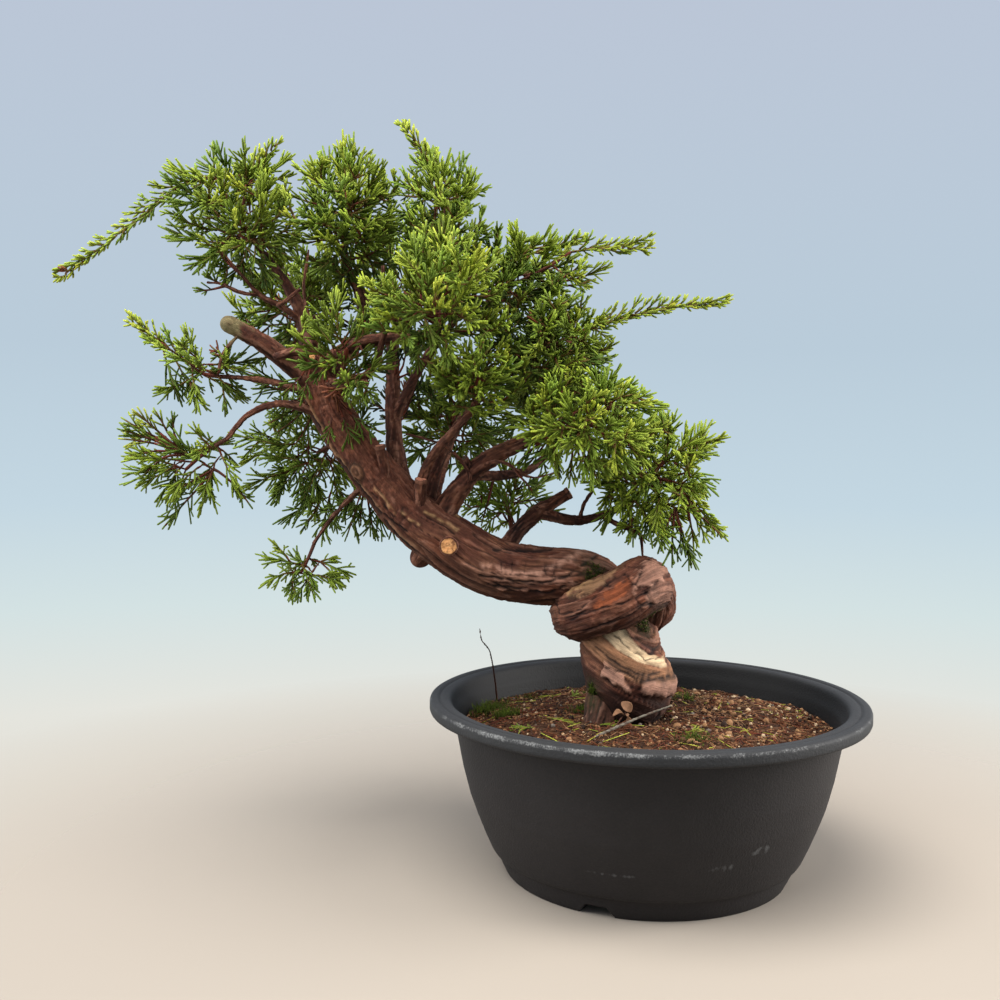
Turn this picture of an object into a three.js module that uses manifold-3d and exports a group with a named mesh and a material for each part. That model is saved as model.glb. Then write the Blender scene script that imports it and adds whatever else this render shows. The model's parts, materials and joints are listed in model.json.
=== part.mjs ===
// A juniper bonsai with a coiled trunk, standing in its round training pot.
// Millimetres. The origin is the centre of the pot's flat underside, +Z is up,
// +X is to the right of the tree's front and +Y goes away from that front.

import * as THREE from 'three';
import { mergeVertices } from 'three/addons/utils/BufferGeometryUtils.js';
import Module from 'manifold-3d';

const wasm = await Module();
wasm.setup();

// Clearance between touching pieces.
const gap = 0.3;

// The pot, as radii and heights.
const pot = {
  rimRadius: 120,
  rimInnerRadius: 108,
  rimHeight: 94.5,
  lipHeight: 7,
  edgeRound: 1.2,
  neckRadius: 107,
  waistRadius: 101.5,
  waistHeight: 57,
  shoulderRadius: 85.5,
  shoulderHeight: 12.5,
  footTopRadius: 82.5,
  footHeight: 11.5,
  footRadius: 78,
  wall: 2.6,
  floorHeight: 8,
  floorRadius: 78,
  cornerHeight: 14.5,
  notchDepth: 26,
  notchHeight: 5.5,
  notchBottomWidth: 21,
  notchTopWidth: 12,
  notchCount: 4,
  firstNotchDegrees: -113,
  segments: 36,
};

// The soil: flat in the middle, where the trunk stands, from where it runs down to the wall
// in an even S, with three low mounds on the slope.
const soil = {
  crownHeight: 84,
  crownRadius: 46,
  edgeHeight: 78,
  slopeRadii: [68, 88],
  mounds: [
    { x: 70, y: 22, reach: 46, height: 3.4 },
    { x: -68, y: -20, reach: 32, height: 2.2 },
    { x: 28, y: -68, reach: 36, height: 2.2 },
  ],
};

// The trunk, from the soil to its fork, as three runs that overlap at the twist.
// Each run has the points that its middle line passes and the radii on the way.
const trunk = {
  sides: 10,
  foot: {
    points: [[-14, -2, 76], [-10, -7, 88], [-9, -9, 101], [-13, -5, 114], [-16, 0, 130],
      [-18, 2, 142]],
    radii: [8, 17.5, 24.5, 23.5, 22, 17],
    steps: 7,
  },
  coil: {
    points: [[-24, 14, 132], [-37, 5, 139], [-33, -11, 143], [-18, -17, 149.5], [-3, -12, 157],
      [1.5, 3, 153], [1, 11, 140]],
    radii: [14, 15.5, 16, 16, 15.5, 14.5, 13],
    steps: 11,
  },
  lean: {
    points: [[-16, 14, 146], [-29, 7, 157], [-47, 0, 160], [-69, 0, 162], [-91, -2, 168],
      [-113, -4, 181], [-131, -4, 195], [-146, -4, 212], [-159, -4, 228], [-172, -2, 246],
      [-181, 0, 263], [-186, 0, 280]],
    radii: [13, 16, 16, 16.5, 16.5, 15, 13.2, 12.2, 11.3, 9.5],
    steps: 17,
  },
};

// Short lengths fused to the trunk: roots at the soil, the knob and the pruned stubs.
const trunkStubs = [
  { from: [-20, -8, 104], to: [-27, -17, 80], radii: [12, 9.5] },
  { from: [-8, 2, 102], to: [-4, 16, 80], radii: [14, 10] },
  { from: [-119, 0, 181], to: [-126, 1, 170.5], radii: [12, 6] },
  { from: [-109, -8, 177], to: [-108.5, -22.5, 179], radii: [5, 4.6] },
  { from: [-126, -10, 195], to: [-124, -17, 214.5], radii: [3.6, 3.1] },
  { from: [-142.5, -11, 208], to: [-146.3, -17, 232.5], radii: [3.2, 2.8] },
];
const stubSides = 7;
const ballSides = { around: 8, down: 6 };

// The boughs: each leaves its parent's middle line and ends where its foliage starts.
const boughSides = 5;
const boughSteps = 5;
const boughs = [
  { name: 'bough_top_left', parent: 'trunk', radii: [5, 3.6, 2.6],
    points: [[-184, 0, 272], [-189.5, 1, 300], [-202, 4, 322], [-214, 7, 338]] },
  { name: 'bough_top', parent: 'trunk', radii: [5.5, 4, 2.8],
    points: [[-182, 4, 268], [-163, 13, 293], [-160, 15, 313], [-170, 16, 334]] },
  { name: 'bough_spike', parent: 'bough_top', radii: [3, 2.4, 2],
    points: [[-162, 14, 301], [-144, 4, 310], [-128, 0, 317], [-119, 0, 330]] },
  { name: 'bough_cross', parent: 'trunk', radii: [4.5, 3.4, 2.5],
    points: [[-182, -3, 276], [-160, -12, 287], [-136, -17, 290], [-114, -26, 292]] },
  { name: 'bough_back_up', parent: 'trunk', radii: [6, 5, 3.4],
    points: [[-134, 2, 202], [-142, 20, 230], [-145, 27, 262], [-146, 36, 294]] },
  { name: 'bough_rear_right', parent: 'bough_back_up', radii: [3.2, 2.6, 2],
    points: [[-144, 23, 247], [-128, 22, 278], [-112, 16, 298], [-100, 10, 312]] },
  { name: 'bough_middle_right', parent: 'trunk', radii: [3.6, 2.8, 2.2],
    points: [[-123, 2, 193], [-115, 6, 226], [-94, 6, 260], [-72, 0, 276]] },
  { name: 'bough_centre', parent: 'trunk', radii: [3.4, 2.6, 1.8],
    points: [[-128, -8, 202], [-119, -17, 225], [-103, -25, 243], [-93, -30, 254]] },
  { name: 'bough_right', parent: 'trunk', radii: [8, 5.4, 4.4, 3.3],
    points: [[-117, -3, 187], [-108, -6, 203], [-92, -11, 222], [-66, -16, 235.5], [-43, -19, 240.5]] },
  { name: 'bough_back_right', parent: 'bough_right', radii: [3, 2.6, 2.2],
    points: [[-97, -10, 217], [-82, 8, 216], [-66, 24, 219], [-50, 38, 232]] },
  { name: 'bough_low_right', parent: 'trunk', radii: [6, 4.6, 4],
    points: [[-82, 3, 170], [-72, 5, 185], [-58, 8, 198]] },
  { name: 'branch_low_right', parent: 'bough_low_right', radii: [3.6, 2.6, 2],
    points: [[-61, 7.5, 196], [-40, 10, 191], [-24, 12, 194], [-9, 13, 201]] },
  { name: 'bough_cut_left', parent: 'trunk', radii: [6, 5, 4.6],
    points: [[-184, -3, 266], [-208, -13, 286], [-227, -20, 297]] },
  { name: 'bough_left', parent: 'trunk', radii: [2.4, 1.8, 1.4],
    points: [[-180, -2, 258], [-203, -12, 266], [-226, -16, 269]] },
  { name: 'bough_left_low', parent: 'trunk', radii: [2.8, 2, 1.4],
    points: [[-174, -2, 248], [-200, -9, 255], [-218, -13, 249], [-229, -16, 236]] },
  { name: 'bough_under', parent: 'trunk', radii: [4, 3, 2.2],
    points: [[-158, 0, 226], [-170, 22, 236], [-180, 38, 234]] },
  { name: 'bough_hanging', parent: 'trunk', radii: [2, 1.4, 1.2],
    points: [[-150, 0, 216], [-166, 7, 203], [-178, 9, 190], [-187, 9, 177]] },
  { name: 'bough_back_low', parent: 'trunk', radii: [3.6, 2.8, 2.2],
    points: [[-120, 4, 190], [-118, 26, 210], [-112, 42, 234]] },
  { name: 'bough_back_left', parent: 'trunk', radii: [4.2, 3.2, 2.4],
    points: [[-182, 3, 264], [-194, 22, 286], [-200, 36, 302]] },
];

// The masses of foliage: the space of each is an ellipsoid by its centre and half sizes.
// A shoot runs on past it, and its space is a tube round its line.
const masses = [
  { name: 'foliage_upper_left', bough: 'bough_top_left', seed: 11, sprays: 24, sprayLength: 30,
    centre: [-226, -2, 356], half: [44, 46, 48],
    shoots: [[[-238, -6, 378], [-259, -9, 371], [-290, -10, 347], [-326, -10, 320]],
      [[-222, 0, 376], [-204, 0, 400]]] },
  { name: 'foliage_top', bough: 'bough_top', seed: 12, sprays: 25, sprayLength: 30,
    centre: [-168, 2, 358], half: [40, 48, 47], shoots: [] },
  { name: 'foliage_spike', bough: 'bough_spike', seed: 13, sprays: 13, sprayLength: 28,
    centre: [-114, 0, 358], half: [32, 42, 40],
    shoots: [[[-111, 0, 374], [-139, 0, 411]]] },
  { name: 'foliage_upper_right', bough: 'bough_rear_right', seed: 14, sprays: 23, sprayLength: 30,
    centre: [-78, 0, 320], half: [48, 48, 34],
    shoots: [[[-44, -4, 338], [-32, -6, 340], [2, -8, 339]], [[-66, 0, 338], [-34, 0, 346]]] },
  { name: 'foliage_right', bough: 'bough_middle_right', seed: 15, sprays: 25, sprayLength: 30,
    centre: [-58, -6, 285], half: [40, 48, 38],
    shoots: [[[-36, -8, 296], [2, -9, 307], [43, -10, 310]]] },
  { name: 'foliage_low_right', bough: 'branch_low_right', seed: 16, sprays: 24, sprayLength: 30,
    centre: [2, 2, 216], half: [40, 46, 48],
    shoots: [[[10, 0, 228], [42, 0, 238]], [[12, -4, 214], [42, -8, 184]]] },
  { name: 'foliage_front', bough: 'bough_right', seed: 17, sprays: 15, sprayLength: 28,
    centre: [-34, -42, 244], half: [42, 36, 32], shoots: [] },
  { name: 'foliage_left', bough: 'bough_left', seed: 48, sprays: 11, sprayLength: 24,
    centre: [-243, -18, 271], half: [32, 28, 27], shoots: [[[-254, -18, 280], [-284, -18, 301]]] },
  { name: 'foliage_left_low', bough: 'bough_left_low', seed: 19, sprays: 12, sprayLength: 24,
    centre: [-252, -16, 219], half: [36, 30, 29], shoots: [[[-263, -16, 191]]] },
  { name: 'foliage_under', bough: 'bough_under', seed: 20, sprays: 24, sprayLength: 30,
    centre: [-194, 56, 228], half: [56, 40, 57], shoots: [] },
  { name: 'foliage_hanging', bough: 'bough_hanging', seed: 21, sprays: 8, sprayLength: 19,
    centre: [-194, 8, 161], half: [36, 22, 22], shoots: [] },
  { name: 'foliage_inner', bough: 'trunk', root: [-172, -2, 252], seed: 22, sprays: 9, sprayLength: 22,
    centre: [-160, -42, 282], half: [30, 26, 34], shoots: [] },
  { name: 'foliage_back', bough: 'bough_back_low', seed: 23, sprays: 15, sprayLength: 30,
    centre: [-112, 66, 252], half: [44, 38, 42], shoots: [] },
  { name: 'foliage_low_back', bough: 'trunk', root: [-74, 2, 164], seed: 24, sprays: 9, sprayLength: 24,
    centre: [-80, 44, 204], half: [36, 30, 26], shoots: [] },
  { name: 'foliage_back_top', bough: 'bough_back_up', seed: 25, sprays: 20, sprayLength: 31,
    centre: [-142, 66, 326], half: [48, 42, 46], shoots: [] },
  { name: 'foliage_back_right', bough: 'bough_back_right', seed: 26, sprays: 18, sprayLength: 31,
    centre: [-50, 66, 266], half: [50, 42, 50], shoots: [] },
  { name: 'foliage_front_top', bough: 'bough_cross', seed: 27, sprays: 19, sprayLength: 29,
    centre: [-112, -54, 305], half: [42, 38, 40], shoots: [] },
  { name: 'foliage_centre', bough: 'bough_centre', seed: 28, sprays: 8, sprayLength: 20,
    centre: [-92, -42, 268], half: [28, 26, 24], shoots: [] },
  { name: 'foliage_back_left', bough: 'bough_back_left', seed: 29, sprays: 17, sprayLength: 31,
    centre: [-208, 58, 316], half: [42, 40, 44], shoots: [] },
];

// How a mass grows. Lengths in millimetres, and shares of the way from centre to edge.
const growth = {
  stepLength: 7,
  pathWeight: 0.35,
  lowestShare: 0.35,
  shareBetween: 0.06,
  shootRadius: 17,
  limbClearance: 1.4,
  stemRadius: 1.9,
  stemShare: 0.9,
  hubShare: 0.75,
  rootShare: 0.42,
  shootShare: 0.8,
  tipRadius: 0.7,
  rootLength: 4,
  sampleStep: 3,
  twigsApart: 2.6,
  spraysApart: 3.8,
  turns: 5,
  shortestTwig: 2.5,
  mostChildren: 1,
  tries: 80,
  sideTilt: 0.9,
  frontAcross: [0, 1, 0],
};

// A spray of needles as a toothed blade, all as shares of its length: the points of its edge
// along the spray and to its side, round a thick middle. Its foot is the end of its twig.
const spray = {
  thickness: 0.085,
  middle: 0.42,
  edge: [[0.64, 0.44], [0.58, 0.16], [1, 0], [0.58, -0.16], [0.64, -0.44]],
  samples: [0.35, 0.7, 1],
};

// The finish of each kind of piece.
const bark = { color: 0x6b4838, roughness: 0.85, metalness: 0 };
const barkDark = { color: 0x543528, roughness: 0.85, metalness: 0 };
const leaf = { color: 0x5f8a3a, roughness: 0.7, metalness: 0 };
const plastic = { color: 0x323031, roughness: 0.6, metalness: 0 };
const earth = { color: 0x6e4c34, roughness: 0.95, metalness: 0 };

const vector = (p) => new THREE.Vector3(...p);

// A closed mesh as a solid that can be joined and cut.
function solid(geometry) {
  const bare = new THREE.BufferGeometry();
  bare.setAttribute('position', geometry.getAttribute('position'));
  bare.setIndex(geometry.index);
  const merged = mergeVertices(bare, 1e-4);
  return new wasm.Manifold(new wasm.Mesh({
    numProp: 3,
    vertProperties: new Float32Array(merged.attributes.position.array),
    triVerts: new Uint32Array(merged.index.array),
  }));
}

// The largest body of a solid, without scraps or the walls of sealed hollows.
function largest(shape) {
  const bodies = shape.decompose();
  return bodies.reduce((best, body) => (body.volume() > best.volume() ? body : best));
}

// A solid as a named mesh with flat faces.
function meshOf(name, shape, finish) {
  const made = shape.getMesh();
  const geometry = new THREE.BufferGeometry();
  geometry.setAttribute('position', new THREE.BufferAttribute(made.vertProperties, 3));
  geometry.setIndex(new THREE.BufferAttribute(made.triVerts, 1));
  const flat = geometry.toNonIndexed();
  flat.computeVertexNormals();
  const mesh = new THREE.Mesh(flat, new THREE.MeshStandardMaterial(finish));
  mesh.name = name;
  return mesh;
}

// The smooth middle line through a few points.
function lineThrough(points) {
  return new THREE.CatmullRomCurve3(points.map(vector), false, 'catmullrom', 0.5);
}

// A value along a line, from a list of values at even steps.
function along(values, share) {
  const place = share * (values.length - 1);
  const index = Math.min(Math.floor(place), values.length - 2);
  return THREE.MathUtils.lerp(values[index], values[index + 1], place - index);
}

// A limb: a closed cylinder whose rings are moved on to a line, each at its own radius.
function limb(points, radii, sides, steps, grown = 0) {
  const line = lineThrough(points);
  const frames = line.computeFrenetFrames(steps, false);
  const geometry = new THREE.CylinderGeometry(1, 1, 1, sides, steps);
  const place = geometry.getAttribute('position');
  const moved = new THREE.Vector3();
  for (let i = 0; i < place.count; i += 1) {
    const ring = Math.round((place.getY(i) + 0.5) * steps);
    const radius = along(radii, ring / steps) + grown;
    moved.copy(line.getPointAt(ring / steps));
    moved.addScaledVector(frames.binormals[ring], place.getX(i) * radius);
    moved.addScaledVector(frames.normals[ring], place.getZ(i) * radius);
    place.setXYZ(i, moved.x, moved.y, moved.z);
  }
  return solid(geometry);
}

// The rounded end that lets two runs of the trunk blend.
function ball(centre, radius) {
  const geometry = new THREE.SphereGeometry(radius, ballSides.around, ballSides.down);
  geometry.translate(...centre);
  return solid(geometry);
}

function box(size, centre) {
  const geometry = new THREE.BoxGeometry(...size);
  geometry.translate(...centre);
  return solid(geometry);
}

// A profile of radius and height turned round the pot's axis.
function turned(profile, segments) {
  const geometry = new THREE.LatheGeometry(profile.map((p) => new THREE.Vector2(...p)), segments);
  geometry.rotateX(Math.PI / 2);
  return solid(geometry);
}

// The inner face of the pot's wall at a height, where the soil and the wall meet.
function innerRadius(height) {
  const lower = height < pot.waistHeight;
  const fromHeight = lower ? pot.shoulderHeight : pot.waistHeight;
  const toHeight = lower ? pot.waistHeight : pot.rimHeight - pot.lipHeight;
  const fromRadius = lower ? pot.shoulderRadius : pot.waistRadius;
  const toRadius = lower ? pot.waistRadius : pot.neckRadius;
  const share = (height - fromHeight) / (toHeight - fromHeight);
  return THREE.MathUtils.lerp(fromRadius, toRadius, share) - pot.wall;
}

function makePot() {
  const underLip = pot.rimHeight - pot.lipHeight;
  let shape = turned([
    [0, 0],
    [pot.footRadius, 0],
    [pot.footTopRadius, pot.footHeight],
    [pot.shoulderRadius, pot.shoulderHeight],
    [pot.waistRadius, pot.waistHeight],
    [pot.neckRadius, underLip],
    [pot.rimRadius, underLip],
    [pot.rimRadius, pot.rimHeight - pot.edgeRound],
    [pot.rimRadius - pot.edgeRound, pot.rimHeight],
    [pot.rimInnerRadius, pot.rimHeight],
    [pot.rimInnerRadius - pot.edgeRound, underLip + pot.edgeRound],
    [innerRadius(underLip), underLip - pot.edgeRound],
    [innerRadius(pot.waistHeight), pot.waistHeight],
    [innerRadius(pot.cornerHeight), pot.cornerHeight],
    [pot.floorRadius, pot.floorHeight],
    [0, pot.floorHeight],
  ], pot.segments);
  for (let i = 0; i < pot.notchCount; i += 1) {
    const outline = new THREE.Shape();
    outline.moveTo(-pot.notchBottomWidth / 2, -gap);
    outline.lineTo(pot.notchBottomWidth / 2, -gap);
    outline.lineTo(pot.notchTopWidth / 2, pot.notchHeight);
    outline.lineTo(-pot.notchTopWidth / 2, pot.notchHeight);
    outline.closePath();
    const notch = new THREE.ExtrudeGeometry(outline, { depth: pot.notchDepth, bevelEnabled: false });
    notch.rotateX(Math.PI / 2);
    notch.translate(0, pot.shoulderRadius, 0);
    notch.rotateZ(THREE.MathUtils.degToRad(pot.firstNotchDegrees + (i * 360) / pot.notchCount - 90));
    shape = shape.subtract(solid(notch));
  }
  return shape;
}

function slopeHeight(radius) {
  const share = THREE.MathUtils.smoothstep(radius, soil.crownRadius, innerRadius(soil.edgeHeight));
  return THREE.MathUtils.lerp(soil.crownHeight, soil.edgeHeight, share);
}

// How high the mounds stand over the slope: height times (1 - distance² / reach²)², inside reach.
function moundHeight(x, y) {
  return soil.mounds.reduce((sum, mound) => {
    const share = ((x - mound.x) ** 2 + (y - mound.y) ** 2) / mound.reach ** 2;
    return sum + (share < 1 ? mound.height * (1 - share) ** 2 : 0);
  }, 0);
}

function makeSoil() {
  const slope = [...soil.slopeRadii].reverse().map((radius) => [radius, slopeHeight(radius)]);
  const shape = turned([
    [0, pot.floorHeight + gap],
    [pot.floorRadius - gap, pot.floorHeight + gap],
    [innerRadius(pot.cornerHeight) - gap, pot.cornerHeight],
    [innerRadius(pot.waistHeight) - gap, pot.waistHeight],
    [innerRadius(soil.edgeHeight) - gap, soil.edgeHeight],
    ...slope,
    [soil.crownRadius, soil.crownHeight],
    [0, soil.crownHeight],
  ], pot.segments);
  const lowest = pot.waistHeight + gap;
  return shape.warp((point) => {
    const near = Math.hypot(point[0], point[1]) < innerRadius(soil.edgeHeight) - 2 * gap;
    if (point[2] > lowest && near) point[2] += moundHeight(point[0], point[1]);
  });
}

// The trunk, or its outline grown outwards to cut clearance into what meets it.
function makeTrunk(grown = 0) {
  let shape = limb(trunk.foot.points, trunk.foot.radii, trunk.sides, trunk.foot.steps, grown);
  for (const run of [trunk.coil, trunk.lean]) {
    shape = shape.add(limb(run.points, run.radii, trunk.sides, run.steps, grown));
    shape = shape.add(ball(run.points[0], run.radii[0] + grown));
  }
  const coilEnd = trunk.coil.points.length - 1;
  shape = shape.add(ball(trunk.coil.points[coilEnd], trunk.coil.radii[coilEnd] + grown));
  for (const stub of trunkStubs) {
    shape = shape.add(limb([stub.from, stub.to], stub.radii, stubSides, 1, grown));
  }
  const cut = soil.crownHeight + gap;
  return largest(shape.subtract(box([2 * pot.rimRadius, 2 * pot.rimRadius, cut], [0, 0, cut / 2])));
}

// Every limb as rows of balls, against which the twigs and sprays keep clear.
const limbBalls = [];
function noteLimb(points, radii) {
  const line = lineThrough(points);
  const count = Math.ceil(line.getLength() / growth.sampleStep);
  for (let i = 0; i <= count; i += 1) {
    limbBalls.push({ at: line.getPointAt(i / count), radius: along(radii, i / count) });
  }
}

function clearOfLimbs(point, extra) {
  return limbBalls.every((b) => b.at.distanceTo(point) > b.radius + extra);
}

// Even numbers from 0 to 1 that are the same on every run.
function seeded(seed) {
  let state = seed;
  return () => {
    state = (state + 0x6d2b79f5) | 0;
    let t = Math.imul(state ^ (state >>> 15), 1 | state);
    t = (t + Math.imul(t ^ (t >>> 7), 61 | t)) ^ t;
    return ((t ^ (t >>> 14)) >>> 0) / 4294967296;
  };
}

function directionFrom(random) {
  const up = 2 * random() - 1;
  const turn = 2 * Math.PI * random();
  const flat = Math.sqrt(1 - up * up);
  return new THREE.Vector3(flat * Math.cos(turn), flat * Math.sin(turn), up);
}

// How far out a point lies in a mass's space: 0 in the middle, 1 at its edge.
function shareOut(mass, point) {
  const [x, y, z] = mass.centre;
  let share = Math.hypot(
    (point.x - x) / mass.half[0], (point.y - y) / mass.half[1], (point.z - z) / mass.half[2]);
  const nearest = new THREE.Vector3();
  for (const shoot of mass.shoots) {
    for (let i = 1; i < shoot.length; i += 1) {
      const run = new THREE.Line3(vector(shoot[i - 1]), vector(shoot[i]));
      run.closestPointToPoint(point, true, nearest);
      share = Math.min(share, nearest.distanceTo(point) / growth.shootRadius);
    }
  }
  return share;
}

function inOwnSpace(mass, point) {
  const own = shareOut(mass, point);
  if (own > 1) return false;
  return masses.every((other) => other === mass || own + growth.shareBetween < shareOut(other, point));
}

// Points along a straight twig, past its root.
function twigPoints(from, to) {
  const length = from.distanceTo(to);
  const points = [];
  for (let way = growth.rootLength; way < length; way += growth.sampleStep) {
    points.push(from.clone().lerp(to, way / length));
  }
  return points;
}

// The edge points of a spray whose foot, direction and side are given.
function sprayPlaces(foot, ahead, side, length) {
  return spray.edge.map(([a, b]) => foot.clone()
    .addScaledVector(ahead, a * length)
    .addScaledVector(side, b * length));
}

function sprayMiddle(foot, ahead, length) {
  return foot.clone().addScaledVector(ahead, spray.middle * length);
}

// A triangle across a twig: two corners in the plane of its spray and one below.
function twigCorners(at, side, across, radius) {
  return [
    at.clone().addScaledVector(side, radius).addScaledVector(across, radius / 2),
    at.clone().addScaledVector(side, -radius).addScaledVector(across, radius / 2),
    at.clone().addScaledVector(across, -radius),
  ];
}

// A three-sided twig from one point to another.
function twigSolid(from, to, startRadius, endRadius) {
  return limb([from.toArray(), to.toArray()], [startRadius, endRadius], 3, 1);
}

// A three-sided twig that ends in a spray, as one closed mesh.
function sprigSolid(from, foot, side, startRadius, endRadius, length) {
  const ahead = foot.clone().sub(from).normalize();
  const across = new THREE.Vector3().crossVectors(ahead, side);
  const middle = sprayMiddle(foot, ahead, length);
  const places = [
    ...twigCorners(from, side, across, startRadius),
    ...twigCorners(foot, side, across, endRadius),
    middle.clone().addScaledVector(across, (spray.thickness * length) / 2),
    middle.clone().addScaledVector(across, (-spray.thickness * length) / 2),
    ...sprayPlaces(foot, ahead, side, length),
  ];
  const [left, right, low, top, bottom, firstEdge] = [3, 4, 5, 6, 7, 8];
  const lastEdge = places.length - 1;
  const index = [0, 2, 1];
  for (let i = 0; i < 3; i += 1) {
    const next = (i + 1) % 3;
    index.push(i, next + 3, i + 3, i, next, next + 3);
  }
  index.push(top, left, right, bottom, low, left, bottom, right, low);
  const loop = [left];
  for (let i = firstEdge; i <= lastEdge; i += 1) loop.push(i);
  loop.push(right);
  for (let i = 1; i < loop.length; i += 1) {
    index.push(top, loop[i], loop[i - 1], bottom, loop[i - 1], loop[i]);
  }
  const geometry = new THREE.BufferGeometry().setFromPoints(places);
  geometry.setIndex(index);
  return solid(geometry);
}

// Points all over a spray, from its middle to its edge.
function sprayPoints(foot, ahead, side, length) {
  const middle = sprayMiddle(foot, ahead, length);
  const places = [foot, ...sprayPlaces(foot, ahead, side, length)];
  return places.flatMap((place, i) => {
    const halfway = place.clone().lerp(places[(i + 1) % places.length], 0.5);
    return [place, halfway].flatMap((edge) => (
      spray.samples.map((share) => middle.clone().lerp(edge, share))));
  });
}

// A mass of foliage: twigs that branch from one stem, with sprays at their ends.
function growMass(mass) {
  const random = seeded(mass.seed);
  const nodes = [{ at: mass.start, path: 0, radius: mass.stemRadius, children: 0 }];
  const taken = [];
  const pieces = [];
  const extra = growth.limbClearance + (spray.thickness * mass.sprayLength) / 2;

  function isFree(points, clearance, apart) {
    return points.every((point) => inOwnSpace(mass, point) && clearOfLimbs(point, clearance)
      && taken.every((other) => other.distanceTo(point) > apart));
  }

  // Adds the nodes of a twig and gives the number of the last.
  function addNodes(from, to, startRadius, endRadius) {
    const start = nodes[from];
    const length = start.at.distanceTo(to);
    const count = Math.max(1, Math.round(length / growth.stepLength));
    for (let i = 1; i <= count; i += 1) {
      const at = start.at.clone().lerp(to, i / count);
      const radius = THREE.MathUtils.lerp(startRadius, endRadius, i / count);
      nodes.push({ at, path: start.path + (length * i) / count, radius, children: 0 });
    }
    return nodes.length - 1;
  }

  function addTwig(from, to, startRadius, endRadius) {
    pieces.push(twigSolid(nodes[from].at, to, startRadius, endRadius));
    taken.push(...twigPoints(nodes[from].at, to));
    return addNodes(from, to, startRadius, endRadius);
  }

  // Adds a twig with a spray that points to a place, where there is room for it.
  function addSprig(from, to, across = directionFrom(random)) {
    const start = nodes[from];
    const ahead = to.clone().sub(start.at).normalize();
    const foot = to.clone().addScaledVector(ahead, -mass.sprayLength);
    if (foot.clone().sub(start.at).dot(ahead) < growth.shortestTwig) return false;
    const way = twigPoints(start.at, foot);
    if (!isFree(way, growth.limbClearance, growth.twigsApart)) return false;
    for (let turn = 0; turn < growth.turns; turn += 1) {
      const over = turn === 0 ? across : directionFrom(random);
      const side = new THREE.Vector3().crossVectors(ahead, over).normalize();
      const points = sprayPoints(foot, ahead, side, mass.sprayLength);
      if (isFree(points, extra, growth.spraysApart)) {
        const startRadius = start.radius * growth.rootShare;
        pieces.push(sprigSolid(start.at, foot, side, startRadius, growth.tipRadius, mass.sprayLength));
        addNodes(from, foot, startRadius, growth.tipRadius);
        start.children += 1;
        taken.push(...way, ...points);
        return true;
      }
    }
    return false;
  }

  const hubRadius = mass.stemRadius * growth.hubShare;
  const hub = addTwig(0, vector(mass.centre), mass.stemRadius, hubRadius);
  for (const shoot of mass.shoots) {
    const joints = [hub];
    for (const place of shoot.slice(0, -1)) {
      const last = joints[joints.length - 1];
      joints.push(addTwig(last, vector(place), nodes[last].radius * growth.shootShare, growth.tipRadius));
    }
    addSprig(joints[joints.length - 1], vector(shoot[shoot.length - 1]), vector(growth.frontAcross));
    joints.slice(1).forEach((joint, i) => {
      const ahead = vector(shoot[i + 1]).sub(nodes[joint].at).normalize();
      const aside = new THREE.Vector3().crossVectors(ahead, directionFrom(random)).normalize();
      const way = ahead.addScaledVector(aside, growth.sideTilt).normalize();
      const reach = mass.sprayLength + 2 * growth.shortestTwig;
      addSprig(joint, nodes[joint].at.clone().addScaledVector(way, reach));
    });
  }

  let made = 0;
  for (let tried = 0; made < mass.sprays && tried < growth.tries * mass.sprays; tried += 1) {
    const way = directionFrom(random);
    const share = growth.lowestShare + (1 - growth.lowestShare) * Math.sqrt(random());
    const to = vector(mass.centre).add(way.multiply(vector(mass.half)).multiplyScalar(share));
    if (inOwnSpace(mass, to) && clearOfLimbs(to, growth.limbClearance)) {
      let best = 1;
      let bestCost = Infinity;
      nodes.forEach((node, i) => {
        const reach = node.at.distanceTo(to);
        const cost = reach + growth.pathWeight * node.path;
        const hasRoom = i > 0 && node.children < growth.mostChildren;
        if (hasRoom && cost < bestCost && reach > mass.sprayLength + growth.shortestTwig) {
          best = i;
          bestCost = cost;
        }
      });
      if (addSprig(best, to)) made += 1;
    }
  }
  return largest(pieces.reduce((all, piece) => all.add(piece)));
}

const bonsai = new THREE.Group();
bonsai.add(meshOf('pot', makePot(), plastic));
bonsai.add(meshOf('soil', makeSoil(), earth));

const trunkGrown = makeTrunk(gap);
bonsai.add(meshOf('trunk', makeTrunk(), bark));
for (const run of [trunk.foot, trunk.coil, trunk.lean]) noteLimb(run.points, run.radii);
for (const stub of trunkStubs) noteLimb([stub.from, stub.to], stub.radii);

// What is cut out of each piece that meets a limb, and where the foliage of a bough starts.
const cutters = { trunk: trunkGrown };
const tips = {};
for (const bough of boughs) {
  const shape = limb(bough.points, bough.radii, boughSides, boughSteps).subtract(trunkGrown);
  bonsai.add(meshOf(bough.name, largest(shape.subtract(cutters[bough.parent])), barkDark));
  noteLimb(bough.points, bough.radii);
  const line = lineThrough(bough.points);
  const beyond = line.getPointAt(1).addScaledVector(line.getTangentAt(1), gap);
  const grownPoints = [...bough.points.slice(0, -1), beyond.toArray()];
  cutters[bough.name] = limb(grownPoints, bough.radii, boughSides, boughSteps, gap);
  tips[bough.name] = { at: line.getPointAt(1), radius: bough.radii[bough.radii.length - 1] };
}

for (const mass of masses) {
  const onTrunk = mass.bough === 'trunk';
  const tip = onTrunk ? { at: vector(mass.root), radius: growth.stemRadius } : tips[mass.bough];
  mass.start = tip.at;
  mass.stemRadius = Math.min(growth.stemRadius, tip.radius * growth.stemShare);
}
for (const mass of masses) {
  const shape = growMass(mass).subtract(cutters[mass.bough]);
  bonsai.add(meshOf(mass.name, largest(shape), leaf));
}

export default bonsai;
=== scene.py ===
import json
import math

import bpy
import numpy as np
from mathutils import Matrix, Vector

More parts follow.
